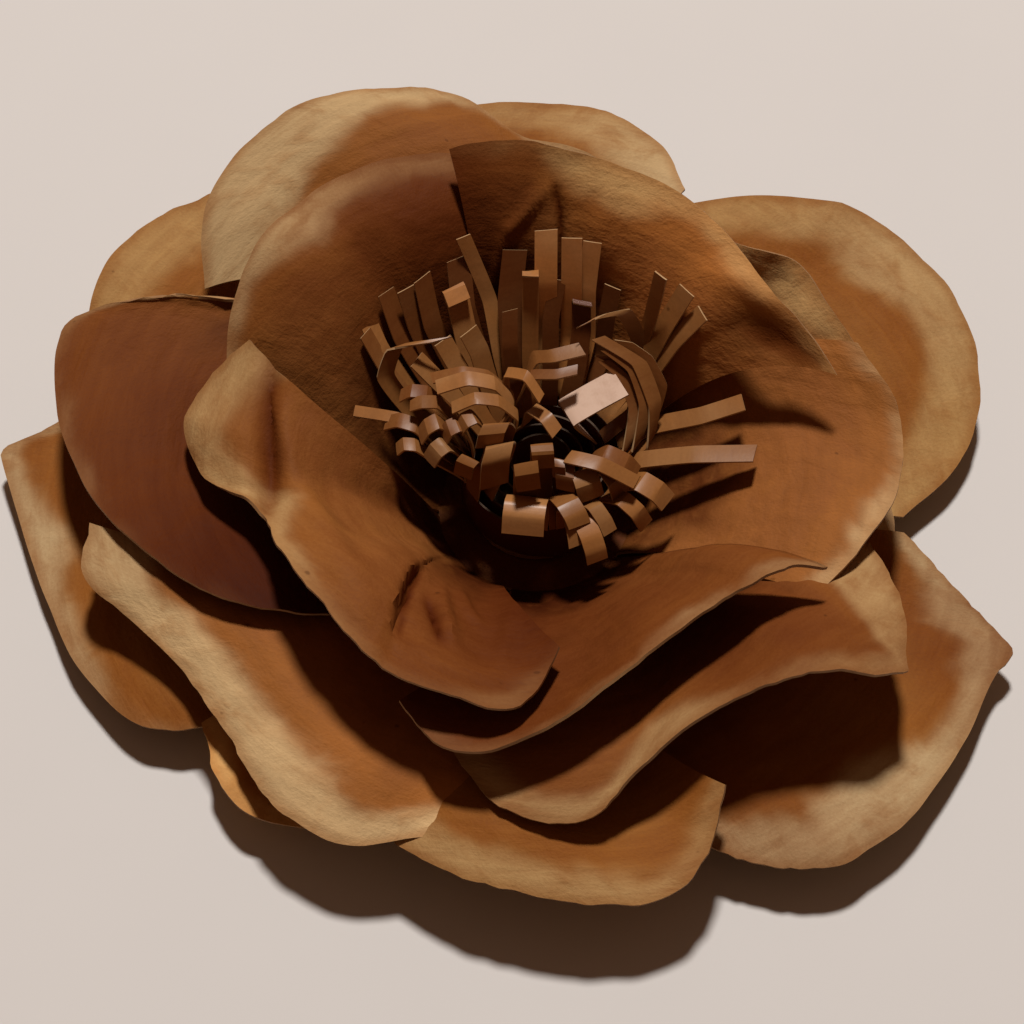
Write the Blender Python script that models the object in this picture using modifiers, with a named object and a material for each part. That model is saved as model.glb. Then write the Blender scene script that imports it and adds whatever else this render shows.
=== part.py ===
"""Paper flower: four discs of thin stained card, each slit into five petals, glued in a stack
around a fringed strip that is rolled up. Metres, +Z up. The origin is the middle of the bottom
disc's underside, on the surface that the flower stands on."""
import math

import bmesh
import bpy
import numpy as np

MM = 0.001

# The card, the glue and how close the pieces lie
CARD_THICKNESS = 0.3 * MM
STRIP_THICKNESS = 0.3 * MM
GLUE_THICKNESS = 0.4 * MM
GLUE_RADIUS = 6 * MM
FIT_GAP = 0.3 * MM
SLIT_WIDTH = 0.7 * MM
PETALS_PER_DISC = 5
SECTOR = 360 / PETALS_PER_DISC

# The flat middle of each disc, out to where its petals begin to rise
BOTTOM_HUB = 12.5 * MM
LOWER_HUB = 11.5 * MM
UPPER_HUB = 10.5 * MM
INNER_HUB = 9.5 * MM

# The rolled strip: an uncut band with a row of fingers above it
ROLL_CORE_RADIUS = 1.5 * MM
ROLL_PITCH = 1.0 * MM
ROLL_TURNS = 5.5
BAND_HEIGHT = 4.5 * MM
FINGER_LENGTH = 15 * MM
FINGER_WIDTH = 2.2 * MM
FINGER_CUT = 0.4 * MM
LEAN_AT_CORE = 8
LEAN_AT_RIM = 78
LEAN_SCATTER = (0, 5, -4, 3, -6, 4, -2)
LENGTH_SCATTER = (1.0, 0.86, 1.06, 0.94, 0.8, 1.1, 0.9)

# Faces across and along each petal, and along each finger
ACROSS = 10
ALONG = 8
FINGER_ROWS = 4

CARD_COLOUR = (0.36, 0.19, 0.07, 1)
DEEP_CARD_COLOUR = (0.25, 0.12, 0.05, 1)
STRIP_COLOUR = (0.27, 0.15, 0.08, 1)
GLUE_COLOUR = (0.75, 0.72, 0.62, 1)

# Each petal's rim is a row of stations, with the azimuth and lip angle in degrees and the reach
# from the axis and the height above its own disc in millimetres. The lip angle is how steeply the
# card still rises where it ends. rise is the angle at which the petal leaves the hub. lift tips
# its first and second side edge up or down, in millimetres, where it passes over or under the
# petal beside it.
BOTTOM_PHASE = 4
BOTTOM_PETALS = [
    dict(rise=6, rim=[(-30, 33, 3.0, 0), (-14, 35, 3.6, 0), (4, 35, 4.0, 0), (20, 34, 3.6, 0), (36, 33, 3.0, 0)]),
    dict(rise=6, rim=[(46, 34, 3.0, 0), (60, 36, 4.0, 0), (76, 37, 4.6, 0), (92, 36, 4.0, 0), (108, 36, 3.4, 0)]),
    dict(rise=8, rim=[(119, 44, 6.0, 0), (133, 50, 8.6, 5), (146, 52, 8.0, 0), (155, 50, 6.6, -8),
                      (168, 44, 4.6, -10), (176, 38, 3.0, -8)]),
    dict(rise=4, rim=[(186, 36, 1.2, 0), (202, 37, 1.6, -4), (217, 39.5, 2.2, -6), (228, 42.5, 2.0, -8),
                      (238, 40.5, 1.4, -6), (252, 35, 1.0, 0)]),
    dict(rise=6, rim=[(258, 34, 1.8, 0), (274, 37, 2.4, 0), (290, 38, 2.6, 0), (306, 38, 2.8, 0), (323, 34, 2.4, 0)]),
]
LOWER_PHASE = 35
LOWER_PETALS = [
    dict(rise=12, rim=[(-4, 36, 5.0, -4), (7, 43, 6.4, -8), (15, 46, 6.8, -12), (28, 48, 7.6, -12),
                       (40, 47, 9.4, -6), (47, 46, 10.0, 0), (60, 40, 9.5, 4), (68, 36, 8.8, 6)]),
    dict(rise=16, rim=[(66, 38, 10.4, 0), (73, 43, 11.0, -8), (81, 45, 11.8, -10), (92, 45, 12.6, 0),
                       (104, 45, 12.0, 0), (118, 45, 11.0, 0), (134, 43, 9.0, 0)]),
    dict(rise=9, rim=[(150, 42, 7.4, 0), (164, 45, 8.2, 2), (172, 47, 8.8, 4), (178, 52, 9.6, 0),
                      (185, 50, 8.0, -16), (195, 48.5, 5.6, -24), (206, 47, 3.8, -28), (214, 44.5, 2.8, -22),
                      (220, 38, 2.6, -8)]),
    dict(rise=10, rim=[(222, 35, 3.6, -5), (238, 37, 3.6, -8), (252, 40, 3.2, -14), (264, 42, 2.8, -20),
                       (277, 44, 2.8, -24), (286, 45, 3.8, -14), (291, 43, 5.6, 5), (296, 39, 9.4, 20)]),
    dict(rise=10, rim=[(291, 40, 3.4, -10), (298, 45, 2.8, -20), (304, 48, 2.8, -24), (313, 49, 3.6, -24),
                       (325, 48.5, 4.8, -18), (333, 48, 6.4, -8), (336, 49, 7.6, 0), (343, 41.5, 7.4, 0),
                       (351, 36, 6.6, 0)]),
]
UPPER_PHASE = 22
UPPER_PETALS = [
    dict(rise=34, rim=[(-11, 31, 10.0, 10), (0, 33, 10.6, 5), (12, 33.5, 12.4, 5), (26, 31.5, 17.0, 30),
                       (35, 31, 18.4, 40), (43, 28, 19.2, 45), (54, 27, 18.0, 45)]),
    dict(rise=40, rim=[(66, 30, 14.0, 30), (78, 34, 15.5, 25), (93, 37, 15.4, 10), (101, 41, 17.4, -10),
                       (112, 44, 18.0, -25), (124, 46, 16.6, -40), (137, 45, 12.6, -45), (146, 40, 8.4, -40)]),
    dict(rise=26, lift=(0, 1.6), rim=[(149, 36, 11.4, 8), (154, 43, 11.6, 4), (160, 49, 10.0, -10),
                                      (172, 47.5, 9.4, -6), (182, 44, 9.4, 0), (190, 41, 10.0, 5),
                                      (200, 37, 10.2, 8), (210, 33, 10.4, 10), (222, 26, 9.4, 15)]),
    dict(rise=19, lift=(0, -2.0), rim=[(194, 44.5, 7.4, -14), (203, 41.5, 6.6, -25), (213, 39.5, 5.8, -30),
                                       (224, 40, 5.4, -38), (236, 42.5, 4.4, -42), (245, 42.5, 3.6, -42),
                                       (254, 40, 4.2, -35), (265, 37.5, 5.4, -20)]),
    dict(rise=26, lift=(2.2, 0), rim=[(256, 32, 7.4, 0), (266, 37.5, 7.4, -10), (277, 39, 8.2, -10),
                                      (285, 36, 10.4, 8), (293, 34.5, 12.4, 20), (305, 35, 13.8, 20),
                                      (315, 38, 14.8, 5), (320, 41, 13.0, -15), (324, 42, 10.8, -25),
                                      (334, 38, 9.4, -15), (344, 33, 8.8, 0)]),
]
INNER_PHASE = 2
INNER_PETALS = [
    dict(rise=46, rim=[(-27, 24, 10.0, 30), (-15, 26.5, 11.6, 30), (-4, 28.5, 12.4, 30), (8, 28.5, 13.6, 35),
                       (19, 27, 15.0, 45)]),
    dict(rise=50, lift=(0, 1.0), rim=[(9, 29, 16.2, 0), (18, 27, 18.5, 15), (29, 25, 20.6, 25),
                                      (42, 25, 22.2, 30), (62, 25, 24.2, 35), (81, 25, 25.2, 40),
                                      (95, 26.5, 25.2, 35), (108, 27, 24.4, 30)]),
    dict(rise=50, lift=(-1.5, -2.0), rim=[(98, 29, 19.5, 0), (109, 30, 21.0, -10), (120, 31, 21.2, -25),
                                          (131, 32, 20.2, -45), (145, 33, 18.4, -50), (155, 32.5, 15.0, -30),
                                          (164, 31, 11.5, -10), (173, 29, 8.6, 10)]),
    dict(rise=50, lift=(2.0, 1.0), rim=[(161, 29, 15.2, 10), (166, 32, 12.4, -20), (175, 34, 10.4, -40),
                                        (185, 32, 10.6, -35), (200, 27.5, 13.8, 10), (212, 28, 15.6, 15),
                                        (227, 29, 16.2, 5), (243, 31, 15.2, 0), (254, 31, 14.2, 5),
                                        (266, 31, 13.2, 15), (275, 24, 12.2, 30)]),
    dict(rise=42, rim=[(246, 31, 10.0, 10), (257, 34.5, 10.4, 0), (270, 33, 12.2, 15), (283, 29.5, 14.4, 30),
                       (297, 27, 14.6, 25), (313, 27, 15.4, 25), (324, 29, 15.4, 5), (330, 31, 13.4, -15)]),
]

# Share of its length over which a petal keeps its angle at the hub, and at the rim
HUB_GRIP = 0.4
RIM_GRIP = 0.35


def clear_scene():
    for thing in list(bpy.data.objects):
        bpy.data.objects.remove(thing, do_unlink=True)


def make_material(name, colour, roughness):
    material = bpy.data.materials.new(name)
    material.use_nodes = True
    shader = material.node_tree.nodes["Principled BSDF"]
    shader.inputs["Base Color"].default_value = colour
    shader.inputs["Roughness"].default_value = roughness
    shader.inputs["Metallic"].default_value = 0
    return material


def make_object(name, shape, material, collection):
    """Turns a bmesh into a smooth-shaded object with one material."""
    mesh = bpy.data.meshes.new(name)
    shape.to_mesh(mesh)
    shape.free()
    mesh.materials.append(material)
    mesh.shade_smooth()
    thing = bpy.data.objects.new(name, mesh)
    collection.objects.link(thing)
    return thing


def thicken(thing, thickness):
    """Gives an open sheet its thickness, half on each side."""
    solidify = thing.modifiers.new("Thickness", "SOLIDIFY")
    solidify.thickness = thickness
    solidify.offset = 0
    return thing


def disc_level(place_in_stack):
    """Height of a disc's middle surface: the discs lie on dabs of glue, with a gap to each."""
    step = CARD_THICKNESS + GLUE_THICKNESS + 2 * FIT_GAP
    return CARD_THICKNESS / 2 + place_in_stack * step


def through_stations(stations, share):
    """A smooth curve through the stations: cubic pieces whose slopes come from the neighbours.
    share runs from 0 to 1 along the rim's real length."""
    azimuth, reach, height = np.radians(stations[:, 0]), stations[:, 1], stations[:, 2]
    places = np.stack([reach * np.cos(azimuth), reach * np.sin(azimuth), height], axis=1)
    knots = np.concatenate([[0], np.cumsum(np.linalg.norm(np.diff(places, axis=0), axis=1))])
    knots /= knots[-1]
    slopes = np.gradient(stations, knots, axis=0)
    piece = np.clip(np.searchsorted(knots, share, side="right") - 1, 0, len(knots) - 2)
    span = (knots[piece + 1] - knots[piece])[:, None]
    part = (share - knots[piece])[:, None] / span
    return ((1 + 2 * part) * (1 - part) ** 2 * stations[piece]
            + part * (1 - part) ** 2 * span * slopes[piece]
            + part ** 2 * (3 - 2 * part) * stations[piece + 1]
            + part ** 2 * (part - 1) * span * slopes[piece + 1])


def hub_angles(petal_number, phase, hub):
    """First and last azimuth of a petal where it leaves the hub, in degrees, clear of the slits."""
    half = SECTOR / 2 - math.degrees(SLIT_WIDTH / 2 / hub)
    centre = phase + SECTOR * petal_number
    return centre - half, centre + half


def petal_place(petal, petal_number, phase, hub, level, across, along):
    """Where the card lies at across, from side edge to side edge, and along, from hub to rim, both
    from 0 to 1. In the upright plane of each azimuth the card is a cubic Bezier curve from the hub
    to the rim. The azimuth turns from the hub's sector to the rim's with the square of along."""
    rim = through_stations(np.array(petal["rim"], dtype=float), across)
    first, last = hub_angles(petal_number, phase, hub)
    hub_azimuth = first + (last - first) * across
    rim_azimuth, lip = rim[:, 0], np.radians(rim[:, 3])
    reach, top = rim[:, 1] * MM, level + rim[:, 2] * MM
    rise = math.radians(petal["rise"])
    length = np.hypot(reach - hub, top - level)
    radii = (hub, hub + HUB_GRIP * length * math.cos(rise), reach - RIM_GRIP * length * np.cos(lip), reach)
    heights = (level, level + HUB_GRIP * length * math.sin(rise), top - RIM_GRIP * length * np.sin(lip), top)
    weights = ((1 - along) ** 3, 3 * along * (1 - along) ** 2, 3 * along ** 2 * (1 - along), along ** 3)
    radius = sum(weight * value for weight, value in zip(weights, radii))
    height = sum(weight * value for weight, value in zip(weights, heights))
    first_lift, last_lift = petal.get("lift", (0, 0))
    lift = (first_lift * (1 - across) ** 3 + last_lift * across ** 3) * MM * 4 * along * (1 - along)
    slope = np.arctan2(top - level, reach - hub)
    radius = radius - lift * np.sin(slope)
    height = height + lift * np.cos(slope)
    azimuth = np.radians(hub_azimuth + (rim_azimuth - hub_azimuth) * along ** 2)
    return np.stack([radius * np.cos(azimuth), radius * np.sin(azimuth), height], axis=1)


def add_petal(shape, petal, petal_number, phase, hub, level):
    """A grid of faces over across and along, moved to the petal's place."""
    grid = bmesh.ops.create_grid(shape, x_segments=ACROSS, y_segments=ALONG, size=0.5)
    flat = np.array([vertex.co for vertex in grid["verts"]])
    places = petal_place(petal, petal_number, phase, hub, level, flat[:, 0] + 0.5, flat[:, 1] + 0.5)
    for vertex, place in zip(grid["verts"], places):
        vertex.co = place


def add_hub(shape, phase, hub, level):
    """The disc's flat middle, with a corner at each vertex of the petals that leave it."""
    corners = []
    for petal_number in range(PETALS_PER_DISC):
        first, last = hub_angles(petal_number, phase, hub)
        corners.extend(np.radians(np.linspace(first, last, ACROSS + 1)))
    circle = bmesh.ops.create_circle(shape, cap_ends=True, segments=len(corners), radius=hub)
    for vertex, azimuth in zip(circle["verts"], corners):
        vertex.co = (hub * math.cos(azimuth), hub * math.sin(azimuth), level)


def make_disc(name, petals, phase, hub, place_in_stack, material, collection):
    """One sheet of card: a hub and its petals, welded where they meet, then made thick."""
    level = disc_level(place_in_stack)
    shape = bmesh.new()
    add_hub(shape, phase, hub, level)
    for petal_number, petal in enumerate(petals):
        add_petal(shape, petal, petal_number, phase, hub, level)
    bmesh.ops.remove_doubles(shape, verts=shape.verts, dist=0.01 * MM)
    bmesh.ops.recalc_face_normals(shape, faces=shape.faces)
    return thicken(make_object(name, shape, material, collection), CARD_THICKNESS)


def make_glue(name, place_in_stack, material, collection):
    """A flat dab of dried glue on the middle of the disc below it."""
    shape = bmesh.new()
    bmesh.ops.create_cone(shape, cap_ends=True, segments=24, radius1=GLUE_RADIUS,
                          radius2=GLUE_RADIUS, depth=GLUE_THICKNESS)
    dab = make_object(name, shape, material, collection)
    dab.location.z = disc_level(place_in_stack) + CARD_THICKNESS / 2 + FIT_GAP + GLUE_THICKNESS / 2
    return dab


def roll_angle(distance):
    """Turn of the rolled strip, in radians, at a distance along it from its inner end: the strip's
    length to there is the area between its turns divided by the pitch."""
    growth = ROLL_PITCH / (2 * math.pi)
    return (np.sqrt(ROLL_CORE_RADIUS ** 2 + 2 * growth * distance) - ROLL_CORE_RADIUS) / growth


def strip_length():
    outer = ROLL_CORE_RADIUS + ROLL_PITCH * ROLL_TURNS
    return math.pi * (outer ** 2 - ROLL_CORE_RADIUS ** 2) / ROLL_PITCH


def strip_place(distance, height, finger, base):
    """Where a point of the flat strip goes once it is rolled. Below the band's edge it stays
    upright. Above, its finger is an arc that bends outwards, and further on the outer turns."""
    turn = roll_angle(distance)
    radius = ROLL_CORE_RADIUS + ROLL_PITCH * turn / (2 * math.pi)
    share = (radius - ROLL_CORE_RADIUS) / (ROLL_PITCH * ROLL_TURNS)
    lean = LEAN_AT_CORE + (LEAN_AT_RIM - LEAN_AT_CORE) * share + LEAN_SCATTER[finger % len(LEAN_SCATTER)]
    arc = math.radians(lean)
    length = FINGER_LENGTH * LENGTH_SCATTER[finger % len(LENGTH_SCATTER)]
    along = max(height - BAND_HEIGHT, 0) / FINGER_LENGTH
    out = length / arc * (1 - math.cos(arc * along))
    up = length / arc * math.sin(arc * along)
    outward = (math.cos(turn), math.sin(turn))
    return ((radius + out) * outward[0], (radius + out) * outward[1], base + min(height, BAND_HEIGHT) + up)


def make_roll(name, material, collection):
    """The fringed strip: one sheet, slit from its upper edge, rolled and then made thick."""
    fingers = round(strip_length() / (FINGER_WIDTH + FINGER_CUT))
    pitch = strip_length() / fingers
    base = disc_level(3) + CARD_THICKNESS / 2 + GLUE_THICKNESS + 2 * FIT_GAP
    shape = bmesh.new()
    columns, rows = 2 * fingers - 1, 1 + FINGER_ROWS
    grid = bmesh.ops.create_grid(shape, x_segments=columns, y_segments=rows, size=0.5)
    for vertex in grid["verts"]:
        vertex.co.x = round((vertex.co.x + 0.5) * columns)
        vertex.co.y = round((vertex.co.y + 0.5) * rows)
    slits = [face for face in shape.faces
             if min(vertex.co.x for vertex in face.verts) % 2 == 1
             and min(vertex.co.y for vertex in face.verts) > 0.5]
    bmesh.ops.delete(shape, geom=slits, context="FACES")
    for vertex in shape.verts:
        finger, side = divmod(int(vertex.co.x), 2)
        distance = finger * pitch + side * (pitch - FINGER_CUT)
        row = vertex.co.y
        height = BAND_HEIGHT * min(row, 1) + FINGER_LENGTH * max(row - 1, 0) / FINGER_ROWS
        vertex.co = strip_place(distance, height, finger, base)
    bmesh.ops.recalc_face_normals(shape, faces=shape.faces)
    return thicken(make_object(name, shape, material, collection), STRIP_THICKNESS)


def make_flower():
    clear_scene()
    collection = bpy.data.collections.new("paper_flower")
    bpy.context.scene.collection.children.link(collection)
    card = make_material("stained card", CARD_COLOUR, 0.6)
    deep_card = make_material("dark stained card", DEEP_CARD_COLOUR, 0.6)
    strip = make_material("fringe card", STRIP_COLOUR, 0.45)
    glue = make_material("dried glue", GLUE_COLOUR, 0.3)
    make_disc("bottom_petals", BOTTOM_PETALS, BOTTOM_PHASE, BOTTOM_HUB, 0, card, collection)
    make_disc("lower_petals", LOWER_PETALS, LOWER_PHASE, LOWER_HUB, 1, card, collection)
    make_disc("upper_petals", UPPER_PETALS, UPPER_PHASE, UPPER_HUB, 2, deep_card, collection)
    make_disc("inner_petals", INNER_PETALS, INNER_PHASE, INNER_HUB, 3, deep_card, collection)
    for place_in_stack, name in enumerate(("glue_bottom", "glue_lower", "glue_upper", "glue_roll")):
        make_glue(name, place_in_stack, glue, collection)
    make_roll("fringed_roll", strip, collection)


make_flower()
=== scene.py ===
# %% [markdown]
# # A paper flower, dressed for its portrait
# The real flower is four discs of thin card. Each is slit into five petals, stained with brown
# dye, curled over a pencil and glued in a stack around a strip that is fringed and rolled up.
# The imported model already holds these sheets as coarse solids. Here each one is made again as a
# fine surface with the curls, creases and stains that paper shows.

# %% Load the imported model
import math

import bpy
import numpy as np
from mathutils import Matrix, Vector


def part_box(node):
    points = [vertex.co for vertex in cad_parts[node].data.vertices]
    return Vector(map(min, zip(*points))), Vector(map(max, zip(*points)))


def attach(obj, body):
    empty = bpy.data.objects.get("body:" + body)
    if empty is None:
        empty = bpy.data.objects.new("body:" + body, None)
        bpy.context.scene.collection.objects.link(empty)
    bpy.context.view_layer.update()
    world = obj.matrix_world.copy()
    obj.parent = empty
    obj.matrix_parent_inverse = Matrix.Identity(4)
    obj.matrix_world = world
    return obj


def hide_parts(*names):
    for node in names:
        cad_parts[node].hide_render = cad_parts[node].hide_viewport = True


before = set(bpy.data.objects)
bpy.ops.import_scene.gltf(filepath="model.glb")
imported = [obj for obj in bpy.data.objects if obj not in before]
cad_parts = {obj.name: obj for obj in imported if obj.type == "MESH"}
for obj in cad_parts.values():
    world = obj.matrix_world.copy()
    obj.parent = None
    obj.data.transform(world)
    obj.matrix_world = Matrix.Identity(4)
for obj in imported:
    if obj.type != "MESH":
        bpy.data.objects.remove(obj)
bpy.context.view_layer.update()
MM = 0.001
print("solids in the packed model:", sorted(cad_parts))

# %% [markdown]
# The camera comes first, because everything is judged through it. The photograph looks down on
# the flower at about 55 degrees. From a third of a metre away, a long lens keeps the petals'
# proportions. Its focal length is counted in the picture's pixels, as it was found by laying the
# petals' rims over the photograph.

# %% Camera
CAMERA_ELEVATION = 55
CAMERA_DISTANCE = 330 * MM
AIM_POINT = Vector((-2.29, 2.79, 0)) * MM
PICTURE_SIDE = 1024
FOCAL_PIXELS = 3300
NEAR_CLIP = 10 * MM


def add_camera():
    """Places the camera on a ray that leaves the aim point at the elevation, towards -Y."""
    angle = math.radians(CAMERA_ELEVATION)
    back = Vector((0, -math.cos(angle), math.sin(angle)))
    data = bpy.data.cameras.new("portrait camera")
    data.sensor_fit = "HORIZONTAL"
    data.angle = 2 * math.atan(PICTURE_SIDE / 2 / FOCAL_PIXELS)
    data.clip_start = NEAR_CLIP
    camera = bpy.data.objects.new("portrait camera", data)
    bpy.context.scene.collection.objects.link(camera)
    camera.location = AIM_POINT + back * CAMERA_DISTANCE
    camera.rotation_euler = (math.pi / 2 - angle, 0, 0)
    bpy.context.scene.camera = camera
    return camera


camera = add_camera()
print("lens angle in degrees:", round(math.degrees(camera.data.angle), 2))

# %% [markdown]
# Each material below is built from the same few steps: a new Principled material, a mix of two
# colours, a step of arithmetic and a soft threshold. They are functions, so that a material reads
# as a short list of what is done to the paper.

# %% Helpers for nodes


def new_material(name, roughness, specular=0.35):
    """A Principled material, with its nodes, its links and the shader to plug things into."""
    material = bpy.data.materials.new(name)
    material.use_nodes = True
    shader = material.node_tree.nodes["Principled BSDF"]
    shader.inputs["Roughness"].default_value = roughness
    shader.inputs["Specular IOR Level"].default_value = specular
    return material, material.node_tree.nodes, material.node_tree.links, shader


def add_node(nodes, kind, **settings):
    """A node with some of its properties set."""
    node = nodes.new(kind)
    for name, value in settings.items():
        setattr(node, name, value)
    return node


def set_inputs(node, **values):
    """Sets inputs of a node by name. An underscore stands for a space."""
    for name, value in values.items():
        node.inputs[name.replace("_", " ")].default_value = value


def attribute_value(nodes, name):
    """The number that the mesh stores under this name for each vertex."""
    return add_node(nodes, "ShaderNodeAttribute", attribute_name=name).outputs["Fac"]


def uv_plan(nodes, name):
    """The place of each point on one of the mesh's flat patterns."""
    return add_node(nodes, "ShaderNodeUVMap", uv_map=name).outputs["UV"]


def object_noise(nodes, links, scale, detail):
    """Cloudy noise between 0 and 1 that is fixed to the object."""
    place = nodes.new("ShaderNodeTexCoord")
    noise = add_node(nodes, "ShaderNodeTexNoise")
    set_inputs(noise, Scale=scale, Detail=detail)
    links.new(place.outputs["Object"], noise.inputs["Vector"])
    return noise.outputs["Fac"]


def add_bump(nodes, links, shader, height, strength, distance):
    """Lets a height tilt the surface's normals."""
    bump = add_node(nodes, "ShaderNodeBump")
    set_inputs(bump, Strength=strength, Distance=distance)
    links.new(height, bump.inputs["Height"])
    links.new(bump.outputs["Normal"], shader.inputs["Normal"])


print("helpers for nodes: 7")

# %% Helpers for colours and numbers


def mix_colour(nodes, links, factor, first, second, blend="MIX"):
    """Mixes two colours by a factor. Each may be a socket or a plain colour."""
    mix = add_node(nodes, "ShaderNodeMix", data_type="RGBA", blend_type=blend)
    for socket, value in (("Factor", factor), ("A", first), ("B", second)):
        if isinstance(value, bpy.types.NodeSocket):
            links.new(value, mix.inputs[socket])
        elif socket == "Factor":
            mix.inputs[socket].default_value = value
        else:
            mix.inputs[socket].default_value = (*value, 1)
    return mix.outputs["Result"]


def calculate(nodes, links, operation, first, second=0.0):
    """One arithmetic step. Each value may be a socket or a number."""
    step = add_node(nodes, "ShaderNodeMath", operation=operation)
    for position, value in enumerate((first, second)):
        if isinstance(value, bpy.types.NodeSocket):
            links.new(value, step.inputs[position])
        else:
            step.inputs[position].default_value = value
    return step.outputs[0]


def ramp_between(nodes, links, value, low, high):
    """0 below low, 1 above high, and smooth between."""
    step = add_node(nodes, "ShaderNodeMapRange", interpolation_type="SMOOTHSTEP")
    step.inputs["From Min"].default_value = low
    step.inputs["From Max"].default_value = high
    links.new(value, step.inputs["Value"])
    return step.outputs["Result"]


print("helpers for colours and numbers: 3")

# %% [markdown]
# The light is one lamp, high up and straight behind the flower, as a desk lamp would stand. It
# throws the shadows towards us. A dim warm world keeps the hollows from going black.

# %% Lamp, world and floor
LAMP_DIRECTION = Vector((0.0, 0.46, 1.0)).normalized()
LAMP_DISTANCE = 1.6
LAMP_SIZE = 0.2
LAMP_POWER = 27
LAMP_COLOUR = (1.0, 0.955, 0.91)
WORLD_COLOUR = (0.11, 0.058, 0.034)
FLOOR_COLOUR = (0.61, 0.585, 0.565)
FLOOR_GRAIN = 0.015
FLOOR_HALF_WIDTH = 1.5


def add_lamp():
    data = bpy.data.lights.new("desk lamp", "AREA")
    data.shape = "DISK"
    data.size = LAMP_SIZE
    data.energy = LAMP_POWER
    data.color = LAMP_COLOUR
    lamp = bpy.data.objects.new("desk lamp", data)
    bpy.context.scene.collection.objects.link(lamp)
    lamp.location = LAMP_DIRECTION * LAMP_DISTANCE
    lamp.rotation_euler = LAMP_DIRECTION.to_track_quat("Z", "Y").to_euler()


def set_world():
    world = bpy.data.worlds.new("dim room")
    world.use_nodes = True
    world.node_tree.nodes["Background"].inputs["Color"].default_value = (*WORLD_COLOUR, 1)
    bpy.context.scene.world = world
    bpy.context.scene.view_settings.view_transform = "Standard"


def add_floor():
    """A sheet of pale card, far wider than the picture, with a faint cloudy grain."""
    side = FLOOR_HALF_WIDTH
    mesh = bpy.data.meshes.new("floor")
    mesh.from_pydata([(-side, -side, 0), (side, -side, 0), (side, side, 0), (-side, side, 0)],
                     [], [(0, 1, 2, 3)])
    floor = bpy.data.objects.new("floor", mesh)
    bpy.context.scene.collection.objects.link(floor)
    material, nodes, links, shader = new_material("pale floor", roughness=0.7, specular=0.2)
    darker = [(1 - FLOOR_GRAIN) * value for value in FLOOR_COLOUR]
    lighter = [(1 + FLOOR_GRAIN) * value for value in FLOOR_COLOUR]
    colour = mix_colour(nodes, links, object_noise(nodes, links, 60, 2), darker, lighter)
    links.new(colour, shader.inputs["Base Color"])
    mesh.materials.append(material)


add_lamp()
set_world()
add_floor()
print("lamp power in watts:", LAMP_POWER)

# %% [markdown]
# A petal is easiest to describe by its rim. Going round the rim, a few stations say where the
# edge is: the azimuth in degrees, the reach from the axis and the height above the petal's own
# disc in millimetres, and the lip angle, which is how steeply the card still rises where it ends.
# A negative lip has been rolled over. The solids in the imported model are made in the same way.
#
# With the rim go the petal's other habits. rise is the angle at which it leaves the hub. lift tips
# its two side edges up or down. sweep says how late each side turns from the hub's azimuth to the
# rim's. corners are stations where the scissors turned. crinkle is how crumpled the card is. The
# last three go into the colour, and may change from one side of the petal to the other: pale is how
# many millimetres of the lip stayed pale, gold is how golden it is, and tone is how light the dye
# came out, with painted light and shade added: it is raised on petals that turn away from the lamp
# and on those in another petal's shadow, and lowered to paint shade into hollows.

# %% The flower's sizes and its petals
CARD_THICKNESS = 0.3 * MM
GLUE_THICKNESS = 0.4 * MM
FIT_GAP = 0.3 * MM
SLIT_WIDTH = 0.7 * MM
PETALS_PER_DISC = 5
SECTOR = 360 / PETALS_PER_DISC
HUB_GRIP = 0.4
RIM_GRIP = 0.35
RIM_WOBBLE = 0.18 * MM
ACROSS = 84
ALONG = 64

# The tone lists below hold painted light and shade as well as the dye's own lightness
BOTTOM_PETALS = [
    dict(rise=6, pale=6,
         rim=[(-30, 33, 3, 0), (-14, 35, 3.6, 0), (4, 35, 4, 0), (20, 34, 3.6, 0), (36, 33, 3, 0)]),
    dict(rise=6, pale=6,
         rim=[(46, 34, 3, 0), (60, 36, 4, 0), (76, 37, 4.6, 0), (92, 36, 4, 0), (108, 36, 3.4, 0)]),
    dict(rise=8, pale=6, gold=1, tone_and_painted_light=0.92,
         rim=[(119, 44, 6, 0), (133, 50, 8.6, 5), (146, 52, 8, 0), (155, 50, 6.6, -8),
              (168, 44, 4.6, -10), (176, 38, 3, -8)]),
    # Tone raised as painted light: this petal lies in the shadow of the petal above it
    dict(rise=8, pale=(1, 1.5, 1.5, 1), gold=1, tone_and_painted_light=1.5,
         rim=[(187, 36, 2.4, 0), (203.5, 37, 3.2, -6), (218.5, 40, 4, -10), (229.5, 43.4, 4.2, -10),
              (239, 41.4, 3.4, -8), (252.5, 35.6, 2.2, 0)]),
    dict(rise=6, pale=4,
         rim=[(258, 34, 1.8, 0), (274, 37, 2.4, 0), (290, 38, 2.6, 0), (306, 38, 2.8, 0),
              (323, 34, 2.4, 0)]),
]
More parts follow.
